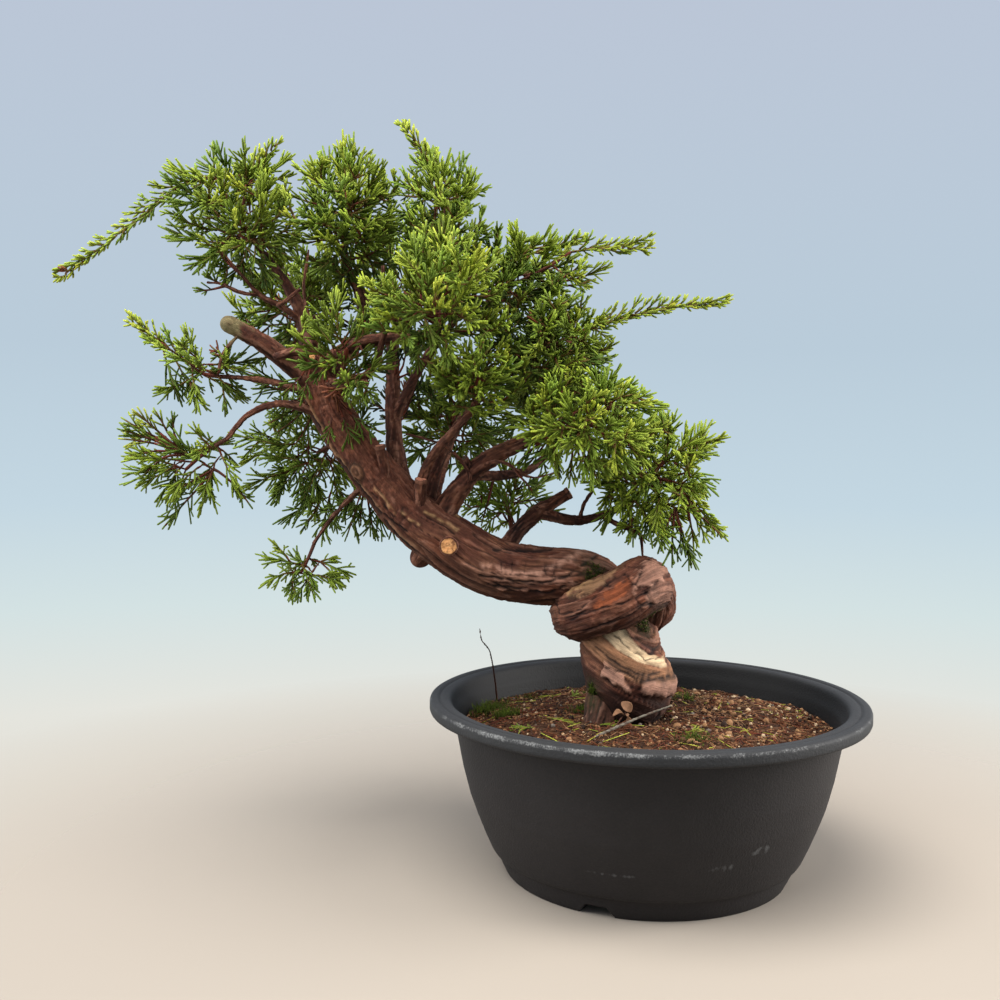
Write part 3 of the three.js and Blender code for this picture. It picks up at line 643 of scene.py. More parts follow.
def makeLitter():
    # Short dead bits, thin and nearly flat, all over the soil but under the trunk
    dice = np.random.default_rng(soil["seed"] + 1)
    count, over = litter["count"], litter["over"]
    x, y = scatter(count, dice, soil["radius"] - litter["fromWall"])
    turn = dice.random(count) * 2 * np.pi
    length = dice.uniform(*litter["lengths"], count)
    often, longer = litter["long"]
    length = length * np.where(dice.random(count) < often, longer, 1)
    endX, endY = x + length * np.cos(turn), y + length * np.sin(turn)
    start = np.stack([x, y, soilHeight(x, y) + over], -1)
    raised = np.abs(dice.normal(0, litter["raised"], count))
    end = np.stack([endX, endY, soilHeight(endX, endY) + over + raised], -1)
    middle, wide = soil["footprint"]
    clear = np.hypot(endX, endY) < soil["radius"] - litter["fromWall"] / 2
    for row in (start, (start + end) / 2, end):
        clear &= np.hypot(*(row[:, :2] - middle).T) > wide
    bow = dice.normal(0, litter["bow"], (count, 3)) * length[:, None] + (0, 0, litter["bowUp"])
    bend = (start + end) / 2 + bow
    radii = dice.uniform(*litter["radii"], (count, 1)) * np.array([litter["narrowing"]])
    tone = dealt(litter["tones"], count, dice) * dice.uniform(*litter["shades"], (count, 1))
    places, faces, shares = manyTubes(start[clear], bend[clear], end[clear], radii[clear], 3, 2)
    finish = tintedFinish("deadBits", 0.8, 0.2, (2, 0.4), (0.7, 1.3), 0.2)
    tint = tubeColours(tone[clear], tone[clear], shares)
    makePiece("deadBits", places, faces, finish, "soil", colour=tint)
    return finish


# Tufts on the soil: their middle, spread, count of blades and height. More stand in the bark's folds
mossLook = {
    "spots": [((-90, 26), 14, 420, 2.4), ((-78, 2), 8, 300, 2.2), ((-34, 4), 7, 260, 1.6),
              ((-27, 56), 12, 120, 1), ((26, 40), 9, 140, 1.6), ((18, -56), 10, 220, 1.3),
              ((-66, 58), 14, 120, 1)],
    "foldBlades": 420, "foldShare": 0.72, "foldWay": (0, -0.7, 0.7), "foldSpread": 0.5, "under": 0.1,
    "scatter": 0.5, "lean": 0.45, "fromWall": 3, "over": 0.2, "lengths": (0.8, 2.6), "bend": 0.6,
    "waver": 0.3, "radii": (0.22, 0.2, 0.1)}


def makeMoss():
    # Short blades round each spot's middle, upright with a random lean, and blades in the damp folds
    look, dice = mossLook, np.random.default_rng(soil["seed"] + 2)
    middles, spreads, counts, heights = zip(*look["spots"])
    which = np.repeat(np.arange(len(counts)), counts)
    middle = np.array([(*middle, 0) for middle in middles], float)[which]
    offset = dice.normal(0, look["scatter"], (len(which), 3)) * np.array(spreads, float)[which, None]
    start = middle + offset
    way = (0, 0, 1.0) + dice.normal(0, look["lean"], (len(which), 3))
    inside = np.hypot(start[:, 0], start[:, 1]) < soil["radius"] - look["fromWall"]
    start, way = start[inside], way[inside]
    start[:, 2] = soilHeight(start[:, 0], start[:, 1]) + look["over"]
    starts, ways, talls = [start], [way], [np.array(heights)[which[inside]]]
    allPlaces, allFaces = joined(trunkPlaces)
    count = look["foldBlades"]
    for middle, wide in damp:
        near = np.linalg.norm(allPlaces - middle, axis=1) < wide * look["foldShare"]
        chosen = dice.choice(np.flatnonzero(near), count)
        starts.append(allPlaces[chosen] - (0, look["under"], 0))
        ways.append(dice.normal(0, look["foldSpread"], (count, 3)) + look["foldWay"])
        talls.append(np.ones(count))
    start, way = np.concatenate(starts), unit(np.concatenate(ways))
    length = dice.uniform(*look["lengths"], (len(start), 1)) * np.concatenate(talls)[:, None]
    bend = start + way * length * look["bend"]
    end = start + way * length + dice.normal(0, look["waver"], start.shape)
    places, faces, shares = manyTubes(start, bend, end, np.tile(look["radii"], (len(start), 1)), 3, 2)
    mix = dice.random((len(start), 1))
    base = light("mossDark") * (0.7 + 0.6 * mix)
    tips = light("moss") * (0.5 + 0.9 * mix)
    finish = tintedFinish("moss", 0.9, 0.1, (2, 0.5), (0.75, 1.25), 0.15)
    makePiece("moss", places, faces, finish, "soil", colour=tubeColours(base, tips, shares))


def curledLeaf(size):
    # A thin leaf, curled up at its sides: its half width is 0.36·sin(πt)^0.7 of its length
    share = np.linspace(0.03, 0.97, 9)[:, None]
    turn = np.linspace(0, 2 * np.pi, 10, endpoint=False)[None]
    across = 0.36 * np.sin(np.pi * share) ** 0.7 * np.cos(turn)
    rise = 0.05 * np.sin(turn) + 1.3 * across**2 + 0.25 * np.sin(np.pi * share)
    rings = np.stack([share - 0.5 + 0 * across, across, rise], -1) * size
    return closedGrid(rings, rings[0].mean(0), rings[-1].mean(0))


# Cut sprays: their foot, turn and length. Twigs: their points, radii and tone. Leaves: place, length
fallen = {
    "sprays": [((-76, -21), 20, 16), ((-55, -17), -25, 15), ((-62, -34), 160, 13), ((-27, -29), 40, 14),
               ((-30, -38), 8, 17), ((13, -37), -30, 13), ((16, -44), 20, 12), ((-40, 40), 70, 12)],
    "rise": 0.04, "sideRise": 0.05, "over": 1.3, "clear": 0.8,
    "tones": [("leafBright", 0.45), ("leafYellow", 0.3), ("leafDead", 0.25)],
    "radii": ((0.4, 0.5, 0.3), (0.36, 0.3)), "axisRadii": (0.45, 0.35, 0.3),
    "twigs": [([(-36, -50, 81.5), (-21, -44, 86.8), (-6, -39, 92), (9, -38, 97.5)],
               (0.55, 0.8, 0.65, 0.4), "lichen"),
              ([(-21, -44, 86.8), (-17, -40, 91), (-13, -36, 95)], (0.4, 0.3, 0.2), "twigBrown"),
              ([(-84, 40, 82), (-85, 20, 100), (-87, 0, 118), (-91, -10, 126), (-92, -14, 133)],
               (0.55, 0.5, 0.4, 0.35, 0.25), "twigBrown")],
    "leaves": [((-14, -37, 96.5), 7.5), ((-18, -38, 92), 7), ((-12, -38, 91.5), 6)]}


def makeFallen(leaf, deadWood):
    # Cut sprays on the soil, a grey twig with lichen, a dead twig that stands, and dry leaves
    look, dice = fallen, np.random.default_rng(soil["seed"] + 3)
    sprays = []
    for (x, y), degrees, length in look["sprays"]:
        turn = math.radians(degrees)
        ahead = np.array((math.cos(turn), math.sin(turn), look["rise"]))
        side = np.array((-math.sin(turn), math.cos(turn), look["sideRise"]))
        height = float(soilHeight(np.array(x), np.array(y)))
        sprays.append((np.array((x, y, height + look["over"])), ahead, side, length, 1.0))
    longer, shorter, lift = sprayTubes(sprays, dice)
    tone = dealt(look["tones"], len(sprays), dice)
    for start, bend, end, which in (longer, shorter):
        above(bend, look["clear"])
        above(end, look["clear"])
    parts, colours = fingers((longer, shorter), look["radii"], tone * 0.4, tone * 0.6, dice)
    foot, middle, end = sprayAxes(sprays, lift)
    above(end, look["clear"])
    radii = spreadRadii(look["axisRadii"], len(foot), dice)
    places, faces, shares = manyTubes(foot, (foot + end) / 2, end, radii, 3, 3)
    parts.append((places, faces))
    colours.append(tubeColours(tone * 0.35, tone * 0.55, shares))
    makePiece("fallenSprays", *joined(parts), leaf, "foliage", colour=np.concatenate(colours))
    parts, colours = [], []
    for points, radii, tone in look["twigs"]:
        grid = limbGrid(points, radii, 0.8, 8)
        rings = grid["rings"] + 0.25 * fine(grid["rings"] / 1.1)[..., None] * grid["out"]
        places, faces = closedGrid(rings, grid["first"], grid["last"])
        parts.append((places, faces))
        dark = smooth(-0.1, 0.4, fine(places / 1.2) + 0.4 * medium(places / 4))
        colours.append(blend(tone, "twigBrown", dark * 0.7))
    for place, size in look["leaves"]:
        corners, faces = curledLeaf(size)
        parts.append((corners @ randomTurns(1, dice)[0] + place, faces))
        colours.append(light("dryLeaf") * (1 + 0.35 * fine(corners / 1.2))[:, None])
    makePiece("deadTwigs", *joined(parts), deadWood, "soil", colour=np.concatenate(colours))


# Bark

trunk = {
    "foot": {"points": [(-14, -2, 76), (-10, -7, 88), (-9, -9, 101), (-13, -5, 114), (-16, 0, 130),
        (-18, 2, 142)], "radii": (8, 17.5, 24.5, 23.5, 22, 17), "around": 230, "pink": 0.1, "calm": 0.25},
    "coil": {"points": [(-24, 14, 132), (-37, 5, 139), (-33, -11, 143), (-18, -17, 149.5), (-3, -12, 157),
        (1.5, 3, 153), (1, 11, 140)], "radii": (14, 15.5, 16, 16, 15.5, 14.5, 13),
        "around": 180, "pink": 0.06, "calm": 0.8},
    "lean": {"points": [(-16, 14, 146), (-29, 7, 157), (-47, 0, 160), (-69, 0, 162), (-91, -2, 168),
        (-113, -4, 181), (-131, -4, 195), (-146, -4, 212), (-159, -4, 228), (-172, -2, 246),
        (-181, 0, 263), (-186, 0, 280)], "radii": (13, 16, 16, 16.5, 16.5, 15, 13.2, 12.2, 11.3, 9.5),
        "around": 170, "pink": 0}}

# Roots and sawn stubs: from, to, radii and the tone of the cut
trunkStubs = [
    ((-20, -8, 104), (-27, -17, 80), (12, 9.5), None),
    ((-8, 2, 102), (-4, 16, 80), (14, 10), None),
    ((-119, 0, 181), (-126, 1, 170.5), (12, 6), None),
    ((-109, -8, 177), (-108.5, -22.5, 179), (5, 4.6), "cutWood"),
    ((-126, -10, 195), (-124, -17, 214.5), (3.6, 3.1), "cutPink"),
    ((-142.5, -11, 208), (-146.3, -17, 232.5), (3.2, 2.8), "cutPink")]
smallCuts = [
    ((-163, -18, 266), (-152.5, -25, 265.5), (2.6, 2.1), "cutPink"),
    ((-184, 0, 276), (-184, -12.5, 280), (2.4, 2.1), "cutWood"),
    ((-95, -7, 217), (-101, -13, 226), (2.4, 1.9), "cutGrey"),
    ((-59, 8, 197), (-43, 6, 207), (3.8, 3.1), "cutWood"),
    ((-160, -4, 231), (-164, -14, 237), (3, 2.4), "cutGrey")]
cutTones = {"bough_right": "cutGrey"}

# How high each form stands, in millimetres, and how calm bark is made
barkLook = {
    "step": 0.62, "levels": 3.0, "plate": 0.5, "curl": 0.3, "fibre": 0.35, "crack": 1.1, "fold": 1.2,
    "ridge": 1.25, "smallRidge": 0.6, "waver": 3.2, "calm": 0.62, "calmTone": 0.72, "limbCalm": 0.6,
    "flowLong": 9, "footSlope": 12.6, "footTurn": 28, "footAxis": (-12, -5), "footRound": 23, "sunk": 2.1}

# The width across the grain, the length along it and the start of each noise, in millimetres
barkGrain = {
    "waver": (coarse, 26, 34, 41), "sideWaver": (coarse, 26, 34, 57), "plates": (coarse, 9, 70, 0),
    "plateEdges": (medium, 4, 26, 0), "ridges": (veins, 8, 85, 3), "smallRidges": (medium, 3.6, 38, 9),
    "fibres": (fine, 1.5, 22, 0), "cracks": (veins, 6.5, 80, 11), "breaks": (medium, 22, 10, 31),
    "breakPlaces": (coarse, 12, 30, 17), "folds": (veins, 13, 120, 5)}

# Patches on the front: their run, middle (x, z), half sizes, tilt, tone, depth and strength
patches = [
    ("coil", (-20, 155.5), (15, 3.6), 36, "barkOrange", 0.8, 0.75),
    ("coil", (-1, 165), (12, 6), 30, "barkPink", -0.8, 0.6),
    ("coil", (5, 155), (8, 8), 0, "barkPink", 0, 0.45),
    ("coil", (-27, 162.5), (20, 2.6), 36, "bareShade", -0.4, 0.7),
    # The lean's pink patch is partly the plates' own tone and partly a painted highlight
    ("lean", (-66, 161), (24, 3), -4, "barkPink", -0.3, 0.4),
    ("lean", (-128, 195), (7, 4), -40, "barkInner", 0.6, 0.6)]

# Swellings: their run, middle, reach and height
bulges = [
    ("coil", (-51, -3, 146), 12, 1.5), ("coil", (-9, -10, 172), 14, 1.4), ("coil", (14, -3, 162), 10, -1.5),
    ("coil", (13, 4, 141), 9, 2.6), ("lean", (-80, -13, 155), 2.4, 1.3), ("lean", (-67, -14, 154), 2.2, 1.2),
    ("lean", (-58, -14, 153), 2.4, 1.3), ("lean", (-71, -14, 170), 2.2, 1.0),
    ("lean", (-43, -8, 172), 11, 1.6), ("lean", (-92, -14, 160), 2.2, 1.0)]

# Lines on the front: their run, tone, height, half width and points (x, z)
creases = [
    ("coil", "crack", -0.9, 0.55, [(-43, 139), (-39, 143), (-33, 145), (-25, 148), (-18, 150), (-9, 153),
        (-2, 156)]),
    ("coil", "crack", -0.7, 0.5, [(-38, 147), (-31, 153.5), (-25.6, 159.4), (-19.7, 163.6)]),
    ("coil", "crack", -1.0, 0.5, [(-15, 165.4), (-13, 164), (-11, 161), (-9, 160), (-7, 164), (-5, 169.5)]),
    ("coil", "crack", -0.8, 0.5, [(-28, 138), (-19.5, 141), (-11, 145), (-5.5, 148.5), (4, 150)]),
    ("coil", "crack", -0.8, 0.5, [(-51, 148), (-48.7, 142), (-43, 144.6), (-36.5, 146)]),
    ("coil", "crestTan", 0.7, 1.1, [(-45, 153), (-36, 158), (-27, 165), (-19, 171)]),
    ("foot", "crack", -0.5, 0.35, [(-19.4, 131.8), (-11, 125), (-3, 120), (6, 119.7)]),
    ("foot", "crack", -1.0, 0.5, [(-30, 124.7), (-19, 117.6), (-7.5, 113), (10, 112.6)]),
    ("foot", "crack", -1.0, 0.5, [(-24, 115), (-13, 113), (-6, 108), (3, 109.6), (11, 110)]),
    # The lean's pink ridge is partly the plates' own tone and partly a painted highlight
    ("lean", "barkPink", 1.1, 1.7, [(-90, 168), (-74, 164), (-62, 164), (-50, 168), (-39, 173), (-31, 177)]),
    ("lean", "crack", -1.2, 0.8, [(-92, 163), (-74, 160), (-58, 159), (-46, 162), (-37, 168), (-27, 173)]),
    ("lean", "crack", -1.0, 0.7, [(-88, 157), (-69, 155), (-55, 153), (-45, 157)]),
    ("lean", "crack", -0.8, 0.8, [(-84, 177), (-66, 176), (-54, 176), (-47, 178)]),
    ("lean", "crestTan", 0.7, 0.9, [(-149, 209), (-145, 205), (-141, 200), (-138, 195)]),
    ("lean", "crack", -0.8, 0.5, [(-151, 207), (-146, 202), (-142, 198), (-139, 193)]),
    ("lean", "crestTan", 0.6, 0.8, [(-135, 197), (-130, 193), (-125, 190)]),
    ("lean", "crestTan", 0.6, 0.8, [(-121, 197), (-114, 194), (-109, 191), (-104, 188)]),
    ("lean", "crack", -0.8, 0.5, [(-120, 194), (-113, 191), (-105, 186)]),
    ("lean", "crestTan", 0.6, 0.8, [(-109, 198), (-104, 194)]),
    ("lean", "crack", -1.0, 0.7, [(-160, 214), (-154, 205), (-147, 197), (-139, 190), (-132, 186)])]

# The upper lean is smooth and red, with a tan crest and a dark seam near its lower edge and a knot
leanLook = {
    "calm": (0.3, 1), "calmWays": (0.46, 0.68), "crest": 0.74, "crestWide": 0.06, "crestHigh": 0.9,
    "seam": 0.87, "seamWide": 0.08, "seamDeep": 1.3, "ways": (0.46, 0.54), "waysEnd": (0.86, 0.93),
    "knot": ((-159, 218), (3.4, 2.5), -55), "knotHigh": 0.9, "knotRings": 6.5}

# Loose flaps low on the foot: between two turns about it and between two levels
flaps = [{"turns": (-32, 0), "levels": (109, 117)}, {"turns": (13, 92), "levels": (111.5, 119)}]
flapHigh = 2.0
damp = [((-31, -8, 162), 9.5), ((-1, -15, 139), 10), ((-36, -20, 99), 10)]
lichenEnd = ((-227, -20, 297), 9)


def barkRelief(across, along, size=1.0):
    # Ridges and fibres are 1 - |noise| drawn out along a wavering grain, plates a noise cut into steps
    # with curled edges, and cracks grooves where a noise crosses zero
    def drawn(name):
        noise, wide, long, offset = barkGrain[name]
        return noise(across / (wide * size) + along / (long * size) + offset)

    def crest(name, sharp):
        return np.clip(1 - sharp * np.abs(drawn(name)), 0, 1)

    look = barkLook
    waver = np.stack([drawn("waver"), drawn("sideWaver"), 0 * across[..., 0]], -1)
    across = across + waver * look["waver"] * size
    level = (0.5 + 0.5 * (drawn("plates") + 0.4 * drawn("plateEdges"))) * look["levels"]
    part = level - np.floor(level)
    step = np.floor(level) + smooth(0.88, 1, part)
    curl = np.exp(-part / 0.09)
    ridge, small, fibre = crest("ridges", 2.3), crest("smallRidges", 2.3), crest("fibres", 2.2)
    breaks = np.exp(-((drawn("breaks") / 0.03) ** 2)) * smooth(0.1, 0.45, drawn("breakPlaces"))
    crack = np.maximum(np.exp(-((drawn("cracks") / 0.045) ** 2)), breaks)
    forms = {"plate": step, "curl": curl, "ridge": ridge, "smallRidge": small, "fibre": fibre,
             "crack": -crack, "fold": drawn("folds")}
    height = sum(look[name] * form for name, form in forms.items()) - look["sunk"]
    return {"height": height * size, "step": step, "curl": curl, "fibre": fibre, "crack": crack,
            "ridge": ridge, "flow": across + along / look["flowLong"]}


def barkColour(relief, places, pink=0.0):
    # Inner red brown on the low plates, brown above, pinkish grey on the highest, a painted pink highlight
    # along the plates' curled edges, dark in cracks
    hue = coarse(places / 16) + 0.5 * medium(places / 6)
    height = relief["step"] + 0.6 * hue
    colour = blend("barkInner", "barkBrown", smooth(0.2, 1.5, height))
    for tone, share in (("barkPink", (0.4 + pink) * smooth(1.4, 2.8, height + pink)),
                        ("barkOrange", 0.22 * smooth(0.35, 0.8, medium(places / 11 + 7))),
                        ("barkTan", 0.4 * relief["fibre"] * smooth(-0.3, 0.6, hue)),
                        # Painted highlight along the curled plate edges
                        ("barkPink", 0.35 * relief["curl"] * smooth(0.8, 2, relief["step"])),
                        ("crack", 0.85 * relief["crack"])):
        colour = blend(colour, tone, share)
    return colour


def softened(values, reach):
    # The mean of a window on a grid that closes on itself round its second axis
    total = sum(np.roll(values, shift, 1) for shift in range(-reach, reach + 1)) / (2 * reach + 1)
    padded = np.pad(total, ((reach, reach), (0, 0)), mode="edge")
    rows = len(values)
    return sum(padded[i:i + rows] for i in range(2 * reach + 1)) / (2 * reach + 1)


def flapShare(flap, turn, level, places):
    # The flap's cover, with a ragged lower edge, and how near a point lies to that edge
    turns, levels = flap["turns"], flap["levels"]
    ragged = 1.6 * medium(places / 5) + 0.3 * fine(places / 1.6)
    degrees = np.degrees(turn) + 6 * medium(places / 6 + 3)
    inside = smooth(turns[0] - 2, turns[0] + 2, degrees) * smooth(turns[1] + 2, turns[1] - 2, degrees)
    rise = level - levels[0] - ragged
    share = inside * smooth(-0.4, 0.4, rise) * smooth(levels[1] + 2, levels[1] - 2, level)
    return share, np.maximum(rise, 0)


def cutFace(grid, colour, height, tone):
    # A sawn end: rings of growth, darker towards the bark, inside a collar
    cap = slice(-capRings, None)
    collar = slice(-capRings - 3, -capRings)
    radius = grid["radius"][-capRings - 1]
    share, places = (grid["radius"][cap] / radius)[:, None], grid["rings"][cap]
    rings = 0.5 + 0.5 * np.sin(share * 20 + 3 * medium(places / 2))
    wood = blend(tone, light(tone) * (0.74, 0.64, 0.55), rings)
    stain = smooth(0.25, 0.6, fine(places / 1.3) + 0.4 * medium(places / 3))
    wood = blend(wood, "barkInner", 0.7 * stain)
    colour[cap] = blend(wood, "barkInner", smooth(0.8, 0.95, share + 0.1 * medium(places / 3)))
    height[cap] = 0.1 * fine(places / 0.8)
    height[collar] = height[collar] * 0.4 + 0.12 * radius


def patchAway(middle, half, tilt, places):
    # How far out a point lies in a tilted ellipse that is seen from the front: 1 at its edge
    tilt = math.radians(tilt)
    x, z = places[..., 0] - middle[0], places[..., 2] - middle[1]
    u = (x * math.cos(tilt) + z * math.sin(tilt)) / half[0]
    v = (-x * math.sin(tilt) + z * math.cos(tilt)) / half[1]
    return np.hypot(u, v)


def facing(out):
    # 1 where the surface faces the front, 0 at its sides and behind
    return smooth(0.05, 0.3, -out[..., 1])


def lineShare(points, wide, places, out):
    # How far a line seen from the front covers a point: exp(-(away/wide)²), its course uneven
    at = places[..., [0, 2]] + 0.8 * np.stack([medium(places / 5), medium(places / 5 + 9)], -1)
    away = np.full(places.shape[:2], 99.0)
    for start, end in zip(points[:-1], points[1:]):
        run = np.subtract(end, start)
        part = np.clip(((at - start) @ run) / (run @ run), 0, 1)
        away = np.minimum(away, np.linalg.norm(at - start - part[..., None] * run, axis=-1))
    return np.exp(-((away / wide) ** 2)) * facing(out) * smooth(-0.9, 0, medium(places / 4 + 5))


def calmed(colour, height, places, calm):
    # Where bark is calm its relief is lower and its colour an uneven red brown with fine specks
    height = height * (1 - barkLook["calm"] * calm)
    height = height + calm * (0.4 * fine(places / 2.2) + 0.3 * medium(places / 7) + 0.2 * fine(places / 0.9))
    red = 0.85 + 0.4 * medium(places / 6) + 0.3 * fine(places / 1.9) + 0.2 * fine(places / 0.8)
    return blend(colour, light("barkRed") * red[..., None], barkLook["calmTone"] * calm), height


def leanBark(grid, colour, height):
    # Calms the relief along the upper part, and adds the crest, the seam and the knot
    look, rings, out = leanLook, grid["rings"], grid["out"]
    share = (grid["way"] / grid["way"][-1])[:, None]
    calm = smooth(*look["calmWays"], share + 0.05 * coarse(rings / 20))
    colour, height = calmed(colour, height, rings, look["calm"][0] * (1 - calm) + look["calm"][1] * calm)
    ahead = unit(np.gradient(grid["line"], axis=0))
    below = np.cross(ahead, (0, 1.0, 0))
    edge = np.einsum("ijk,ik->ij", out, below) + 0.09 * medium(rings / 14)
    start, end = look["waysEnd"]
    there = smooth(*look["ways"], share) * smooth(end, start, share) * facing(out)
    there = there * smooth(-0.7, 0.1, medium(rings / 9 + 3))
    crest = np.exp(-(((edge - look["crest"]) / look["crestWide"]) ** 2)) * there
    seam = np.exp(-(((edge - look["seam"]) / look["seamWide"]) ** 2)) * there
    height = height + look["crestHigh"] * crest - look["seamDeep"] * seam
    colour = blend(colour, light("crestTan") * (0.8 + 0.3 * fine(rings / 1.5))[..., None], 0.8 * crest)
    colour = blend(colour, "crack", 0.85 * seam)
    away = patchAway(*look["knot"], rings)
    knot = smooth(2.0, 1.3, away) * facing(out)
    turns = np.cos(look["knotRings"] * away + 1.5 * medium(rings / 3))
    height = height * (1 - knot) + (look["knotHigh"] * np.exp(-(away**2)) + 0.25 * turns) * knot
    colour = blend(colour, light("barkTan") * (0.5 + 0.2 * turns)[..., None], 0.6 * knot)
    colour = blend(colour, "crack", 0.6 * np.exp(-(((away - 1.5) / 0.16) ** 2)) * knot)
    return colour, height


def footTurns(rings):
    # The turn about the foot's axis, 0 at the front, and a level that slopes by a sine of that turn
    x, y = barkLook["footAxis"]
    turn = np.arctan2(rings[..., 0] - x, -(rings[..., 1] - y))
    slope = barkLook["footSlope"] * np.sin(turn + math.radians(barkLook["footTurn"]))
    return turn, rings[..., 2] + slope


def footBark(rings, relief, colour, height):
    # Bare wood between two wavy levels, layers under it, then the dark root with its loose flaps;
    # the root is partly its own dark bark and partly painted shade under the lump, and the flaps get painted
    # shadows
    turn, level = footTurns(rings)
    degrees = np.degrees(turn)
    top = np.interp(degrees, (-40, -5, 20, 55), (137, 140, 134, 132))
    uneven = level + 0.7 * medium(rings / 5)
    band = smooth(127, 127.8, uneven) * smooth(top + 0.6, top - 0.4, uneven)
    band = band * smooth(-48, -38, degrees) * smooth(70, 58, degrees)
    lines = fine(np.stack([level / 1.9, turn * 2, 0 * level], -1))
    wood = blend("bareShade", "bareWood", 0.8 + 0.5 * lines)
    wood = blend(wood, "leafDark", 0.25 * smooth(131, 137, rings[..., 2]))
    height = height * (1 - band) + (-1.0 + 0.3 * lines) * band
    colour = blend(colour, wood, band)
    layered = smooth(114, 117, level) * smooth(128, 126, level) * (1 - band)
    tan = light("barkTan") * (0.7 + 0.3 * np.clip(lines + 0.4, 0, 1))[..., None]
    colour = blend(colour, tan, 0.75 * layered)
    height = height * (1 - 0.7 * layered) + 0.3 * lines * layered
    # Partly the root's own dark bark, partly painted shade under the lump
    under = smooth(109, 104, level)
    colour = blend(colour, light("barkInner") * 0.6, 0.85 * under)
    height = height * (1 - 0.5 * under)
    for flap in flaps:
        share, rise = flapShare(flap, turn, level, rings)
        pale = 0.62 + 0.3 * relief["fibre"] + 0.25 * medium(rings / 6) + 0.12 * fine(rings / 1.5)
        colour = blend(colour, light("barkPink") * pale[..., None], 0.85 * share)
        # Painted shadow along the flap's lower edge
        colour = blend(colour, "crack", 0.8 * np.exp(-((rise - 0.3) / 0.5) ** 2) * share)
        height = height * (1 - 0.6 * share) + share * (flapHigh - 0.1 * rise)
        # Painted shadow in a band just above the flap
        shade = np.exp(-((level - flap["levels"][1] - 1.2) / 0.8) ** 2)
        colour = blend(colour, "crack", 0.8 * shade * smooth(-40, -25, degrees))
    return colour, height


def barkAxes(name, grid):
    # Places across and along the grain: round the foot by its level, and along any other limb
    rings = grid["rings"]
    across, along = np.zeros((*rings.shape[:2], 3)), np.zeros((*rings.shape[:2], 3))
    if name == "foot":
        turn, across[..., 0] = footTurns(rings)
        along[..., 1] = barkLook["footRound"] * np.cos(turn)
        along[..., 2] = barkLook["footRound"] * np.sin(turn)
    else:
        across[..., 0] = np.cos(grid["turn"]) * np.mean(grid["radius"])
        across[..., 1] = np.sin(grid["turn"]) * np.mean(grid["radius"])
        along[..., 2] = grid["way"][:, None]
    return across, along


def barkMarks(name, relief, rings, out, colour, height):
    # The patches, swellings and lines that stand on one run of the trunk
    for on, middle, half, tilt, tone, sunk, strength in patches:
        if on == name:
            ragged = 0.35 * medium(rings / 4) + 0.2 * fine(rings / 1.5)
            share = smooth(1.15, 0.75, patchAway(middle, half, tilt, rings) + ragged) * facing(out)
            edge = np.clip(4 * share * (1 - share), 0, 1)
            height = height * (1 - 0.4 * share) - sunk * share
            grained = 0.72 + 0.4 * relief["fibre"] + 0.2 * relief["ridge"]
            colour = blend(colour, light(tone) * grained[..., None], strength * share)
            colour = blend(colour, "crack", 0.5 * edge * strength)
    for on, middle, reach, tall in bulges:
        if on == name:
            height = height + tall * np.exp(-(((rings - middle) / reach) ** 2).sum(-1))
    return colour, height


def barkLines(name, rings, out, colour, height):
    # The lines, each raised or sunk by its own share
    for on, tone, tall, wide, points in creases:
        if on == name:
            share = lineShare(points, wide, rings, out)
            colour = blend(colour, light(tone) * (0.9 + 0.3 * fine(rings / 1.4))[..., None], 0.85 * share)
            height = height + tall * share
    return colour, height


def barkSurface(name, grid, calmShare, size=1.0, pink=0.0, cut=None):
    # Lifts a limb's rings outwards by the bark's relief, paints shade on it near the soil, underneath, on
    # limbs behind and in its hollows, paints highlights on its crests, and tints it where moss or lichen
    # grows
    rings, out = grid["rings"], grid["out"]
    relief = barkRelief(*barkAxes(name, grid), size)
    colour, height = barkColour(relief, rings, pink), relief["height"]
    if calmShare:
        calm = calmShare * smooth(-0.8, 0.2, coarse(rings / 16))
        colour, height = calmed(colour, height, rings, calm)
    colour, height = barkMarks(name, relief, rings, out, colour, height)
    if name == "lean":
        colour, height = leanBark(grid, colour, height)
    if name == "foot":
        colour, height = footBark(rings, relief, colour, height)
    colour, height = barkLines(name, rings, out, colour, height)
    # Painted shade: darker near the soil, on the limbs that stand behind, and on the undersides
    low = 0.42 + 0.58 * smooth(86, 106, rings[..., 2] + 5 * medium(rings / 8))
    behind = 0.78 + 0.22 * smooth(6, -10, rings[..., 1]) if name == "limb" else 1.0
    under = 1 - 0.42 * smooth(0.1, -0.8, out[..., 2])
    colour = colour * (low * behind * under)[..., None]
    if cut:
        cutFace(grid, colour, height, cut)
    dip = np.clip((height - softened(height, 5)) / (0.6 * size), -1, 1)
    if cut:
        dip[-capRings:] = 0
    # Painted shade in the relief's hollows and painted highlight on its crests
    colour = colour * (1 + 0.42 * dip)[..., None]
    colour = blend(colour, "barkPink", 0.25 * smooth(0.25, 1, dip))
    for middle, wide in damp:
        share = np.exp(-(((rings - middle) / wide) ** 2).sum(-1) * 1.4)
        colour = blend(colour, "mossDark", np.clip(share * (0.9 + 0.8 * fine(rings / 2)), 0, 0.85))
    away = np.linalg.norm(rings - lichenEnd[0], axis=-1) / lichenEnd[1]
    colour = blend(colour, "lichenOlive", 0.7 * smooth(1.4, 0.5, away + 0.5 * medium(rings / 4)))
    fade = np.minimum(1, grid["radius"][:, None] / max(grid["radius"].max(), 1.0) * 1.5)
    places, faces = closedGrid(rings + out * (height * fade)[..., None], grid["first"], grid["last"])
    ends = ([v.reshape(-1, 3), v[:1].mean(1), v[-1:].mean(1)] for v in (colour, relief["flow"]))
    return places, faces, *(np.concatenate(parts) for parts in ends)


